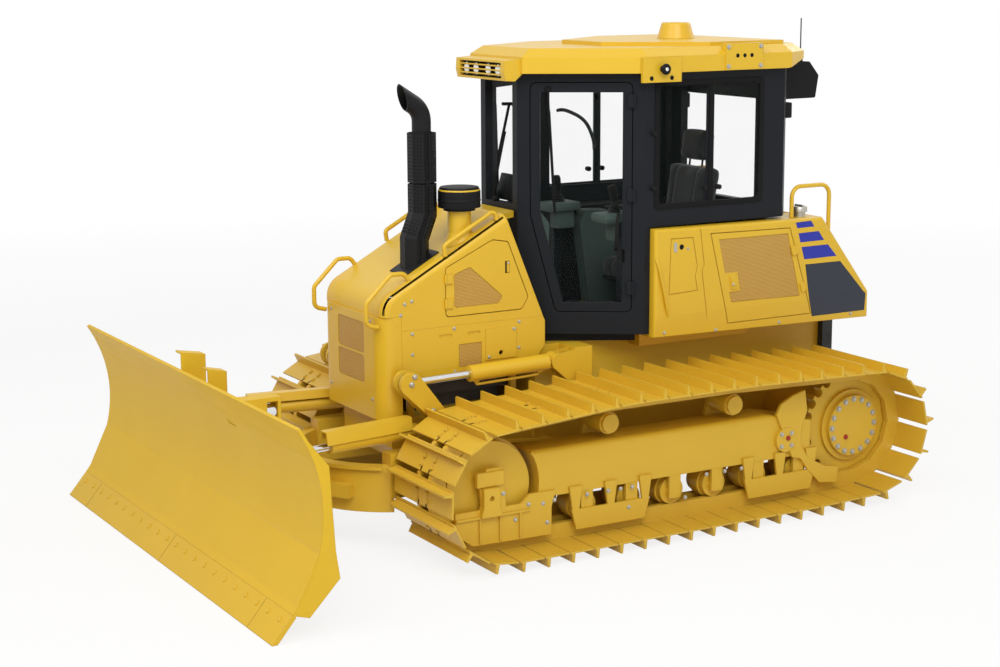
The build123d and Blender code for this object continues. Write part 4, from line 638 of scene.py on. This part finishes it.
for hand, sign in hands:
    out = (0, sign, 0)
    engineDoor, rearDoor = "engine_door_" + hand, "rear_door_" + hand
    sidePlate("engineLatch_" + hand, engineDoor, "rubberAndShade", roundedOutline(latches["engine"], 5), 399.2,
              sign, 2.5, 0.6)
    sidePlate("engineLatchPull_" + hand, engineDoor, "yellow", roundedOutline(latches["enginePull"], 5),
              401.5, sign, 4.5, 1.2)
    spun("engineLock_" + hand, engineDoor, "bolt", (263, sign * 405.6, 1652), out, latches["engineLock"], 14)
    sidePlate("rearLatch_" + hand, rearDoor, "yellow", roundedOutline(latches["rear"], 10), 719.6,
              sign, 7, 1.6)
    sidePlate("rearLatchPull_" + hand, rearDoor, "yellow", roundedOutline(latches["rearPull"], 8), 726.2,
              sign, 4, 1)
    spun("rearLock_" + hand, rearDoor, "bolt", (-1210, sign * 730, 1434), out, latches["rearLock"], 16)
    x, y, z = filler["wellAt"]
    spun("fillerWell_" + hand, "chassis", "rubberAndShade", (x, sign * y, z), out, filler["well"], 20)
    plate = Piece("fillerPlate_" + hand, "chassis", "bolt")
    plate.slab(sided(roundedOutline(filler["plate"], 5), filler["y"], sign), 3, 0.6)
    plate.bolt((filler["bolt"][0], sign * filler["y"], filler["bolt"][1]), out, 12)
    plate.done()
    strip = Piece("cornerStrip_" + hand, "chassis", "yellow")
    strip.tube([(x, sign * y, z) for x, y, z in cornerStrip["route"]], cornerStrip["radius"])
    strip.done(smooth=True)
    bolts = Piece("hoodBolts_" + hand, "chassis", "bolt")
    for x, z in panelBolts["side"]:
        bolts.bolt((x, sign * planes["hood"], z), out, panelBolts["width"])
    for x, z in panelBolts["hatch"]:
        bolts.bolt((x, sign * panelBolts["hatchY"], z), out, panelBolts["width"])
    for y, z in panelBolts["mask"]:
        bolts.bolt((planes["mask"], sign * y, z), (1, 0, 0), panelBolts["width"])
    for x, z in panelBolts["flank"]:
        bolts.bolt((x, sign * (flankY(z) - 0.5), z), out, panelBolts["width"])
    bolts.done()
print("latches and panel bolts set")

# roof lamps, with a bezel, a dish and a ribbed lens each
visorLamps = {"x": 203, "ys": (-195, -75, 75, 195), "z": 2809, "sides": 28,
              "dish": [(37, -0.5), (37, 2), (34, 2.5), (20, 1), (8, 3)],
              "lens": [(33, 1), (33, 5), (27, 8), (16, 10), (4, 10.6)],
              "bezel": [(45, -0.5), (45, 3), (43, 6), (38.5, 7), (38.5, 1)]}
dishes = Piece("visorDishes", "chassis", "chrome")
lenses = Piece("visorLenses", "chassis", "lens")
bezels = Piece("visorBezels", "chassis", "black")
for y in visorLamps["ys"]:
    at = (visorLamps["x"], y, visorLamps["z"])
    for piece, kind in ((dishes, "dish"), (lenses, "lens"), (bezels, "bezel")):
        piece.turnedPart(at, (1, 0, 0), visorLamps[kind], visorLamps["sides"])
for piece in (dishes, lenses, bezels):
    piece.done(smooth=True)

# side lamps on the roof brackets and work lamps under the roof's tail
ballLamp = {"x": -632, "z": 2815, "bolts": (-70, 80), "boltZ": 2760,
            "lens": [(11, 46), (11, 49), (8, 51), (3, 52)],
            "body": [(20, -2), (20, 6), (12, 8), (12, 14), (26, 20), (33, 32), (34, 40), (30, 46), (27, 48)]}
tailLamp = {"x": -1705, "y": 560, "z": 2510, "back": 45, "front": 8, "half": (48, 50),
            "lens": [(38, -1), (38, 2), (30, 5), (10, 7)]}
roofClamp = {"xs": (-1380, -1130), "zs": (2815, 2935), "holes": (-1310, -1255, -1200), "holeZ": 2880}
for hand, sign in hands:
    out, y = (0, sign, 0), sign * planes["bracket"]
    lamp = Piece("bracketLamp_" + hand, "chassis", "black")
    at = (ballLamp["x"], y, ballLamp["z"])
    lamp.turnedPart(at, out, ballLamp["body"], 28)
    for x in ballLamp["bolts"]:
        lamp.bolt((ballLamp["x"] + x, y, ballLamp["boltZ"]), out, 18)
    lamp.done(smooth=True)
    spun("bracketLens_" + hand, "chassis", "lens", at, out, ballLamp["lens"], 20, smooth=True)
    lamp = Piece("tailLamp_" + hand, "chassis", "black")
    at = Vector((tailLamp["x"], sign * tailLamp["y"], tailLamp["z"]))
    wide, tall = tailLamp["half"]
    lamp.box(at - Vector((tailLamp["back"], wide, tall)), at + Vector((tailLamp["front"], wide, tall)), 8)
    lamp.done(smooth=True)
    spun("tailLens_" + hand, "chassis", "lens", at - Vector((tailLamp["back"], 0, 0)), (-1, 0, 0),
         tailLamp["lens"], 24, smooth=True)
    bolts = Piece("roofBolts_" + hand, "chassis", "bolt")
    for z in roofClamp["zs"]:
        for x in roofClamp["xs"]:
            bolts.bolt((x, y, z), out, 20)
    bolts.done()
    # dark discs as painted shade in the roof clamp's holes
    shadePatches = Piece("clampHoleShades_" + hand, "chassis", "rubberAndShade")
    for x in roofClamp["holes"]:
        shadePatches.turnedPart((x, y, roofClamp["holeZ"]), out, [(13, -1), (13, 0.8), (12, 1)], 20)
    shadePatches.done()
print("lamps set")

# cab fittings: pane rims and knobs, door pulls, wipers and inner grab bars
doorLine = {"front": Vector((90, 225, 0)), "rear": Vector((-560, 665, 0))}


def onDoor(s, z, out, sign):
    # a place on the door's plane: along the door from its front pillar, up, and out
    run = (doorLine["rear"] - doorLine["front"]).normalized()
    off = Vector((-run.y, run.x, 0))
    off = off if off.y > 0 else -off
    place = doorLine["front"] + run * s + off * out
    return (place.x, sign * place.y, z)


def doorBar(piece, route, radius, sign):
    # a bar through places on the door, given as along, up and out
    piece.tube([onDoor(s, z, out, sign) for s, z, out in route], radius)


def frameOutline(grow, corner):
    # the side window's opening, grown by so much on every side
    low, high, foot, top = (paneRim[key] for key in ("low", "high", "foot", "top"))
    return roundedOutline([(low - grow, foot - grow), (high + grow, foot - grow), (high + grow, top + grow),
                           (low - grow, top + grow)], corner, 5)


paneRim = {"low": -1450, "high": -660, "foot": 1965, "top": 2715, "wide": 26, "lip": 10, "corners": (42, 36),
           "ys": (664, 669, 672, 644), "postX": (-1082, -1048), "postY": 658}
paneKnob = {"places": ((-1010, 2060), (-1120, 2060), (-620, 2080), (-620, 2420)),
            "profile": [(17, -1), (17, 8), (12, 10), (12, 20), (16, 22), (16, 30), (12, 33)]}
doorFittings = {
    "pull": ((610, 1700, -4), (614, 1704, 42), (618, 1760, 52), (620, 1860, 52), (624, 1916, 42),
             (626, 1920, -4)),
    "lock": ((668, 1620), (636, 1620), (636, 1700), (668, 1700)),
    "wiperArm": ((190, 2690, -2), (190, 2686, 18), (200, 2500, 22), (215, 2250, 10), (216, 2240, -6)),
    "wiperBlade": ((196, 2560, -8), (214, 2250, -8), (232, 1930, -8)),
    "wiperHub": [(20, 0), (20, 14), (15, 20)],
    "innerBar": ((250, 2560, -30), (254, 2560, -78), (300, 2560, -80), (420, 2500, -80), (470, 2380, -80),
                 (474, 2330, -78), (474, 2326, -30))}
for hand, sign in hands:
    door = "cab_door_" + hand
    rims = Piece("paneRims_" + hand, "chassis", "rubberAndShade")
    outer = frameOutline(paneRim["wide"], paneRim["corners"][0])
    inner = frameOutline(-paneRim["lip"], paneRim["corners"][1])
    rims.skin([[(x, sign * y, z) for x, z in outline]
               for outline, y in zip((outer, outer, inner, inner), paneRim["ys"])])
    post = sign * paneRim["postY"]
    rims.box((paneRim["postX"][0], post - 8, paneRim["foot"]),
             (paneRim["postX"][1], post + 8, paneRim["top"]), 4)
    rims.done(smooth=True)
    knobs = Piece("paneKnobs_" + hand, "chassis", "black")
    for x, z in paneKnob["places"]:
        knobs.turnedPart((x, post, z), (0, sign, 0), paneKnob["profile"], 18)
    knobs.done(smooth=True)
    pull = Piece("doorPull_" + hand, door, "black")
    doorBar(pull, doorFittings["pull"], 12, sign)
    corners = [onDoor(s, z, 0, sign) for s, z in doorFittings["lock"]]
    pull.slab(corners if sign > 0 else corners[::-1], 14, 4)
    pull.done(smooth=True)
    wiper = Piece("doorWiper_" + hand, door, "rubberAndShade")
    doorBar(wiper, doorFittings["wiperArm"], 7, sign)
    doorBar(wiper, doorFittings["wiperBlade"], 9, sign)
    outward = Vector(onDoor(0, 0, 1, sign)) - Vector(onDoor(0, 0, 0, sign))
    wiper.turnedPart(onDoor(190, 2690, -4, sign), outward, doorFittings["wiperHub"], 18)
    wiper.done(smooth=True)
    bar = Piece("doorInnerBar_" + hand, door, "black")
    doorBar(bar, doorFittings["innerBar"], 11, sign)
    bar.done(smooth=True)
frontWiper = {"arm": ((70, -60, 1990), (100, -60, 2000), (98, 20, 2240), (78, 60, 2420)),
              "blade": ((76, -40, 2240), (76, 30, 2400), (76, 110, 2600)),
              "hubAt": (64, -60, 1990), "hub": [(20, 0), (20, 24), (14, 34)]}
wiper = Piece("screenWiper", "chassis", "rubberAndShade")
wiper.tube(frontWiper["arm"], 7)
wiper.tube(frontWiper["blade"], 9)
wiper.turnedPart(frontWiper["hubAt"], (1, 0, 0), frontWiper["hub"], 18)
wiper.done(smooth=True)

# seals behind the door gaps, and dark inner panels over the tanks' walls as painted shade inside the cab
doorEdge = {"opening": [(78, 2735), (78, 1915), (235, 1305), (713, 1305), (713, 2735)], "middle": (420, 2050),
            "front": -46, "back": -54, "spread": 16}
cabShadePanels = {"x": (-1640, -590), "y": 424, "z": (1196, 1844), "shelfX": (-1640, -600), "shelfY": (425, 609),
           "shelfZ": (1836, 1846)}
for hand, sign in hands:
    seal = Piece("doorSeal_" + hand, "chassis", "rubberAndShade")
    middle = Vector(doorEdge["middle"])
    inner, outer = [], []
    for s, z in roundedOutline(doorEdge["opening"], 40):
        towards = (middle - Vector((s, z))).normalized() * doorEdge["spread"]
        inner.append((s + towards.x, z + towards.y))
        outer.append((s - towards.x, z - towards.y))
    seal.skin([[onDoor(s, z, doorEdge[side], sign) for s, z in line] for line, side in (
        (inner, "front"), (outer, "front"), (outer, "back"), (inner, "back"))], closed=True)
    seal.done()
    # dark boxes over the yellow walls seen through the glass: painted shade of the cab's inside
    trim = Piece("cabShadePanel_" + hand, "chassis", "black")
    wall, shelf = sign * cabShadePanels["y"], sorted(sign * y for y in cabShadePanels["shelfY"])
    trim.box((cabShadePanels["x"][0], wall - 4, cabShadePanels["z"][0]), (cabShadePanels["x"][1], wall + 4, cabShadePanels["z"][1]), 3)
    trim.box((cabShadePanels["shelfX"][0], shelf[0], cabShadePanels["shelfZ"][0]),
             (cabShadePanels["shelfX"][1], shelf[1], cabShadePanels["shelfZ"][1]), 3)
    trim.done()
print("cab fittings set")

# operator's seat: swelled cushions on a plinth, in place of the plain solid
seat = {"x": -1080, "floor": 1195, "voxel": 12, "frames": 18, "pressure": 4.0, "cap": 0.014,
        "cushion": ((-238, -238, 205), (262, 238, 318)), "back": ((-58, -232, -310), (58, 232, 310)),
        "head": ((-48, -138, -98), (48, 138, 98)), "channels": (-112, 112), "grooveDepth": 0.007,
        "grooveWidth": 9, "fill": 0.7, "lean": -9.5}


def cushion(name, low, high, place, corner):
    # a soft block swelled by pressure, then grooved along its sewn channels
    start = Piece(name + "Form", "chassis", "cloth")
    start.box(low, high, corner)
    bmesh.ops.transform(start.mesh, matrix=place, verts=start.mesh.verts)
    obj = start.done()
    obj.name = name
    remesh = obj.modifiers.new("even", "REMESH")
    remesh.mode = "VOXEL"
    remesh.voxel_size = seat["voxel"] / 1000
    bpy.context.view_layer.update()
    data = bpy.data.meshes.new_from_object(obj.evaluated_get(bpy.context.evaluated_depsgraph_get()))
    obj.modifiers.clear()
    obj.data = data
    before = [v.co.copy() for v in data.vertices]
    cloth = obj.modifiers.new("swell", "CLOTH")
    cloth.settings.use_pressure = True
    cloth.settings.uniform_pressure_force = seat["pressure"]
    cloth.settings.effector_weights.gravity = 0
    cloth.point_cache.frame_end = seat["frames"]
    for step in range(1, seat["frames"] + 1):
        bpy.context.scene.frame_set(step)
    swelled = bpy.data.meshes.new_from_object(obj.evaluated_get(bpy.context.evaluated_depsgraph_get()))
    moved = [v.co.copy() for v in swelled.vertices]
    obj.modifiers.clear()
    bpy.context.scene.frame_set(1)
    for v, was, now in zip(data.vertices, before, moved):
        step = now - was
        if step.length > seat["cap"]:
            step = step.normalized() * seat["cap"]
        v.co = was + step
    for v in data.vertices:
        near = min(abs(v.co.y * 1000 - line) for line in seat["channels"])
        v.co -= v.normal * seat["grooveDepth"] * math.exp(-(near / seat["grooveWidth"]) ** 2)
    bpy.data.meshes.remove(swelled)
    data = obj.data
    data.materials.clear()
    data.materials.append(finishes["cloth"])
    data.shade_smooth()
    obj.modifiers.new("soft", "SUBSURF").levels = 1
    obj.modifiers["soft"].render_levels = 1
    return obj




def seatPlace(back, up):
    return Matrix.Translation((seat["x"] - back, 0, seat["floor"] + up))


lean = Matrix.Rotation(math.radians(seat["lean"]), 4, "Y")
base = cushion("seatCushion", *seat["cushion"], seatPlace(0, 0), 40)
cushion("seatBack", *seat["back"], seatPlace(300, 630) @ lean, 42)
cushion("headRest", *seat["head"], seatPlace(362, 1062) @ lean, 34)
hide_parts("operator_seat")
stand = Piece("seatStand", "chassis", "black")
stand.box((seat["x"] - 180, -180, seat["floor"]), (seat["x"] + 180, 180, seat["floor"] + 60), 14)
for fold in range(4):
    z = seat["floor"] + 60 + fold * 30
    reach = 150 - fold * 4
    stand.box((seat["x"] - reach, -reach, z), (seat["x"] + reach, reach, z + 24), 10)
stand.box((seat["x"] - 220, -225, seat["floor"] + 178), (seat["x"] + 240, 225, seat["floor"] + 208), 10)
for y in (-70, 70):
    stand.tube([(seat["x"] - 345, y, seat["floor"] + 860), (seat["x"] - 352, y, seat["floor"] + 930),
                (seat["x"] - 360, y, seat["floor"] + 990)], 7)
stand.done(smooth=True)
print("seat set")

# levers, screen and pedals of the operator's place
controls = {"z": 1898, "y": 335, "x": -560, "pedals": (-95, 0, 95),
            "boot": [(46, -8), (46, 4), (34, 14), (40, 22), (26, 32), (32, 40), (16, 52), (14, 84)],
            "grip": [(16, 0), (24, 14), (26, 50), (30, 74), (26, 92), (10, 99)]}
levers = Piece("controlLevers", "chassis", "black")
for sign in (1, -1):
    at = Vector((controls["x"], sign * controls["y"], controls["z"]))
    levers.turnedPart(at, (0, 0, 1), controls["boot"], 24)
    levers.turnedPart(at + Vector((0, 0, 80)), (0.25, 0, 1), controls["grip"], 20)
    levers.box((seat["x"] - 120, at.y - 45, 1800), (seat["x"] + 150, at.y + 45, 1842), 18)
for y in controls["pedals"]:
    levers.box((-330, y - 34, 1215), (-270, y + 34, 1223), 3)
    levers.tube([(-296, y, 1200), (-290, y, 1215), (-250, y, 1235)], 9)
levers.done(smooth=True)
pod = Piece("controlPods", "chassis", "trim")
for sign in (1, -1):
    y = sign * controls["y"]
    pod.box((-690, y - 88, 1838), (-430, y + 88, 1900), 26)
    pod.box((-660, y - 50, 1720), (-520, y + 50, 1850), 20)
pod.done(smooth=True)
monitor = Piece("monitor", "chassis", "black")
tip = Matrix.Translation((-80, -150, 2040)) @ Matrix.Rotation(math.radians(-18), 4, "Y")
monitor.box((-18, -130, -85), (18, 130, 85), 8)
bmesh.ops.transform(monitor.mesh, matrix=tip, verts=monitor.mesh.verts)
monitor.tube([(-80, -150, 1945), (-74, -150, 1980), (-66, -150, 2020)], 16)
monitor.done(smooth=True)
print("controls set")

# louvres, vents and catches on the rear grille, in its own slanting plane; the vents between the louvres are
# dark patches of painted shade
grille = {"top": Vector((-1939.6, 0, 1814)), "foot": Vector((-2344.6, 0, 1290)), "half": 385, "slats": 15,
          "ventShadeHalf": (370, 7), "catches": ((0.955, 30), (0.05, 22)), "catchYs": (-330, 330)}
slope = grille["foot"] - grille["top"]
down = slope.normalized()
away = Vector((down.z, 0, -down.x))
away = away if away.x < 0 else -away
louvres = Piece("grilleLouvres", "rear_grille", "yellow")
for i in range(grille["slats"]):
    at = grille["top"] + slope * (0.1 + 0.8 * i / (grille["slats"] - 1))
    lip = at + away * 16 + down * 14
    section = [at - down * 4 - away * 1, at + down * 8 - away * 1, lip + down * 6, lip]
    low, high = louvres.skin([[p + Vector((0, y, 0)) for p in section]
                              for y in (-grille["half"], grille["half"])])
    louvres.mesh.faces.new(low)
    louvres.mesh.faces.new(high[::-1])
louvres.done()
# dark patches between the louvres: painted shade
ventShades = Piece("grilleVentShades", "rear_grille", "rubberAndShade")
for i in range(grille["slats"] - 1):
    at = grille["top"] + slope * (0.1 + 0.8 * (i + 0.55) / (grille["slats"] - 1))
    wide, tall = grille["ventShadeHalf"]
    quad = [at + Vector((0, a * wide, 0)) + down * b * tall for a, b in ((-1, -1), (1, -1), (1, 1), (-1, 1))]
    ventShades.slab(facing(quad, away), 0.8)
ventShades.done()
catches = Piece("grilleCatches", "rear_grille", "bolt")
for y in grille["catchYs"]:
    for share, width in grille["catches"]:
        catches.bolt(grille["top"] + slope * share + Vector((0, y, 0)), away, width)
catches.done()
print("rear grille set")

# yellow guard plate over the lower rear block, with slots and bolts; the slots are dark patches of painted
# shade
rearGuard = {"x": -2284.6, "half": 414, "low": 738, "high": 1186, "thick": 8, "shadePatches": 5, "slotFoot": 860,
             "slotPitch": 52, "slotYs": (-190, 190), "slotHalf": (120, 9), "boltYs": (-380, -130, 130, 380),
             "boltZs": (770, 1154)}
guard = Piece("rearGuard", "chassis", "yellow")
half, low, high = (rearGuard[key] for key in ("half", "low", "high"))
outline = roundedOutline([(-half, low), (half, low), (half, high), (-half, high)], 40)
guard.slab([(rearGuard["x"] + 0.5, y, z) for y, z in outline[::-1]], rearGuard["thick"], 2)
guard.done()
# dark patches in the slots: painted shade
shadePatches = Piece("rearGuardSlotShades", "chassis", "rubberAndShade")
for i in range(rearGuard["shadePatches"]):
    z = rearGuard["slotFoot"] + i * rearGuard["slotPitch"]
    wide, tall = rearGuard["slotHalf"]
    for y in rearGuard["slotYs"]:
        slot = roundedOutline([(y - wide, z - tall), (y + wide, z - tall), (y + wide, z + tall),
                               (y - wide, z + tall)], tall)
        shadePatches.slab([(rearGuard["x"] - rearGuard["thick"] + 0.6, a, b) for a, b in slot[::-1]], 0.6)
shadePatches.done()
bolts = Piece("rearGuardBolts", "chassis", "bolt")
for y in rearGuard["boltYs"]:
    for z in rearGuard["boltZs"]:
        bolts.bolt((rearGuard["x"] - rearGuard["thick"] + 0.4, y, z), (-1, 0, 0), 24)
bolts.done()
print("rear guard set")

# the blade in a copy whose bracket stays behind the moldboard's face
moldboard = {"seam": Vector((2.308, 0.145)), "top": Vector((2.258, 1.122)), "sagitta": 0.160, "behind": 0.004,
             "bracketY": 0.560, "bracketHalf": 0.058, "bracketFoot": 0.89, "slack": 0.0005}
chord = moldboard["top"] - moldboard["seam"]
ahead = Vector((chord.y, -chord.x)).normalized()
arcRadius = (chord.length_squared / 4 + moldboard["sagitta"] ** 2) / (2 * moldboard["sagitta"])
arcCentre = (moldboard["seam"] + moldboard["top"]) / 2 + ahead * (arcRadius - moldboard["sagitta"])
bladeMesh = nodes["blade"].data.copy()
bladeMesh.name = "bladeBody"
moved = 0
for v in bladeMesh.vertices:
    onBracket = abs(v.co.y - moldboard["bracketY"]) < moldboard["bracketHalf"]
    if onBracket and v.co.z > moldboard["bracketFoot"]:
        faceX = arcCentre.x - math.sqrt(arcRadius ** 2 - (v.co.z - arcCentre.y) ** 2)
        if v.co.x > faceX + moldboard["slack"]:
            v.co.x = faceX - moldboard["behind"]
            moved += 1
bladeBody = inScene("bladeBody", bladeMesh)
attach(bladeBody, "blade")
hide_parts("blade")
print("blade set, with", moved, "corners of its bracket drawn back")

# bolts along the cutting edge, and its seams
edgeBolts = {"tip": Vector((2430, 0, 0)), "seam": Vector((2308, 0, 145)), "count": 22, "half": 1580,
             "up": 0.72, "profile": [(17, 0), (17, 1.5), (15, 4), (8, 5.5)]}
edgeSeams = {"ys": (-1340, 0, 1340), "foot": 0.02, "top": 0.985, "half": 0.8, "depth": 0.6}
face = edgeBolts["seam"] - edgeBolts["tip"]
front = Vector((face.z, 0, -face.x)).normalized()
front = front if front.x > 0 else -front
bolts = Piece("edgeBolts", "blade", "edge")
for i in range(edgeBolts["count"]):
    y = -edgeBolts["half"] + 2 * edgeBolts["half"] * i / (edgeBolts["count"] - 1)
    at = edgeBolts["tip"] + face * edgeBolts["up"] + Vector((0, y, 0)) - front * 0.4
    bolts.turnedPart(at, front, edgeBolts["profile"], 14)
bolts.done(smooth=True)
seams = Piece("edgeSeams", "blade", "heat")
for y in edgeSeams["ys"]:
    foot, top, half = (edgeSeams[key] for key in ("foot", "top", "half"))
    quad = [edgeBolts["tip"] + face * t + Vector((0, y + d, 0))
            for t, d in ((foot, -half), (foot, half), (top, half), (top, -half))]
    seams.slab(facing(quad, front), edgeSeams["depth"])
seams.done()
print("cutting edge set")

# oil pipes of the lift cylinders, bolts of the C-frame and the filler cap
liftPipe = {"y": 510, "radius": 9, "route": ((110, 986), (112, 962), (130, 957), (480, 948), (545, 946),
                                             (556, 952), (558, 976)),
            "clamps": ((92, 128, 972, 990), (540, 576, 962, 980))}
hornBolts = {"y": 565, "horn": ((1021, 1006), (1000, 1050), (880, 830), (700, 640)), "hornWidth": 24,
             "beam": (120, 420, 940, 1080), "beamZ": 470, "beamWidth": 22}
fillerCap = {"at": (-1834, 600, 1800), "profile": [(46, 0), (46, 18), (40, 20), (40, 44), (52, 46), (52, 74),
                                                   (48, 80), (20, 82)]}
for hand, sign in hands:
    pipe = Piece("liftPipe_" + hand, "lift_barrel_" + hand, "frame")
    y = sign * liftPipe["y"]
    pipe.tube([(x, y, z) for x, z in liftPipe["route"]], liftPipe["radius"])
    for x0, x1, z0, z1 in liftPipe["clamps"]:
        pipe.box((x0, y - 20, z0), (x1, y + 20, z1), 5)
    pipe.done(smooth=True)
    keepers = Piece("hornBolts_" + hand, "c_frame", "bolt")
    for x, z in hornBolts["horn"]:
        keepers.bolt((x, sign * hornBolts["y"], z), (0, sign, 0), hornBolts["hornWidth"])
    for x in hornBolts["beam"]:
        keepers.bolt((x, sign * hornBolts["y"], hornBolts["beamZ"]), (0, sign, 0), hornBolts["beamWidth"])
    keepers.done()
cap = Piece("fillerCap", "chassis", "bolt")
cap.turnedPart(fillerCap["at"], (0, 0, 1), fillerCap["profile"], 32)
cap.box((-1842, 560, 1878), (-1826, 640, 1892), 4)
cap.done(smooth=True)
print("pipes, bolts and cap set")

# pale floor, soft lamps and the camera at the photo's angle
studio = {"floorSize": 90, "floorZ": -0.002,
          "floorColour": srgb(240, 240, 238), "floorGrain": srgb(234, 234, 232),
          "worldStrength": 0.5, "shadowShare": 0.17, "shadowReach": 7, "shadowFade": 8}
view = {"place": (6.100, 10.350, 3.450), "turn": 59.85, "tip": 10.98, "roll": -0.3, "lens": 68.67}


def seenDirectly(f):
    # 1 for rays that the eye follows: straight, mirrored or through glass
    seen = f.node("ShaderNodeLightPath", out="Is Camera Ray")
    mirrored = f.node("ShaderNodeLightPath", out="Is Glossy Ray")
    through = f.node("ShaderNodeLightPath", out="Is Transmission Ray")
    return (seen + mirrored + through).clamped()


half = studio["floorSize"] / 2
floorMesh = bpy.data.meshes.new("floor")
corners = [(a * half, b * half, studio["floorZ"]) for a, b in ((-1, -1), (1, -1), (1, 1), (-1, 1))]
floorMesh.from_pydata(corners, [], [(0, 1, 2, 3)])
floor = inScene("floor", floorMesh)
f = Finish("paleFloor")
grain = f.noise(3, 4)
matt = f.node("ShaderNodeBsdfDiffuse", None, {
    "Color": f.mix((grain * 0.2).clamped(), studio["floorColour"], studio["floorGrain"])})
white = f.node("ShaderNodeEmission", None, {"Color": (1, 1, 1, 1), "Strength": 1.0})
away = f.node("ShaderNodeVectorMath", {"operation": "LENGTH"}, {0: f.where}, out="Value")
near = ((studio["shadowReach"] + studio["shadowFade"] - away) / studio["shadowFade"]).clamped()
f.node("ShaderNodeOutputMaterial", None, {"Surface": f.node("ShaderNodeMixShader", None, {
    0: seenDirectly(f) * (1 - near * studio["shadowShare"]), 1: matt, 2: white})})
floorMesh.materials.append(f.material)


class Sky(Finish):
    # the world's nodes, written in the same way as a material's
    def __init__(self, name):
        self.material = bpy.data.worlds.new(name)
        self.material.use_nodes = True
        self.tree = self.material.node_tree
        self.tree.nodes.clear()


sky = Sky("studioSky")
soft = sky.node("ShaderNodeBackground", None, {"Color": (1, 1, 1, 1), "Strength": studio["worldStrength"]})
plainWhite = sky.node("ShaderNodeBackground", None, {"Color": (1, 1, 1, 1), "Strength": 1.0})
sky.node("ShaderNodeOutputWorld", None, {"Surface": sky.node("ShaderNodeMixShader", None, {
    0: seenDirectly(sky), 1: soft, 2: plainWhite})})
bpy.context.scene.world = sky.material


def softLamp(name, place, aim, size, power):
    lamp = bpy.data.lights.new(name, "AREA")
    lamp.shape = "RECTANGLE"
    lamp.size, lamp.size_y = size
    lamp.energy = power
    obj = inScene(name, lamp)
    obj.location = place
    obj.rotation_euler = (Vector(aim) - Vector(place)).to_track_quat("-Z", "Y").to_euler()


softLamp("keyLamp", (3, 9, 9), (0, 0, 1), (7, 5), 640)
softLamp("fillLamp", (7, 2, 9), (0.5, 0, 1), (6, 5), 330)
softLamp("rimLamp", (-9, -2, 7), (0, 0, 1.5), (6, 5), 230)

camera = bpy.data.cameras.new("photoCamera")
camera.sensor_width = 36
camera.lens = view["lens"]
cameraObj = inScene("photoCamera", camera)
turn, tip = math.radians(view["turn"]), math.radians(view["tip"])
back = Vector((math.cos(tip) * math.cos(turn), math.cos(tip) * math.sin(turn), math.sin(tip)))
aim = (-back).to_track_quat("-Z", "Y").to_matrix().to_4x4()
roll = Matrix.Rotation(math.radians(view["roll"]), 4, "Z")
cameraObj.matrix_world = Matrix.Translation(view["place"]) @ aim @ roll
bpy.context.scene.camera = cameraObj
bpy.context.scene.view_settings.view_transform = "Standard"
print("studio and camera set")
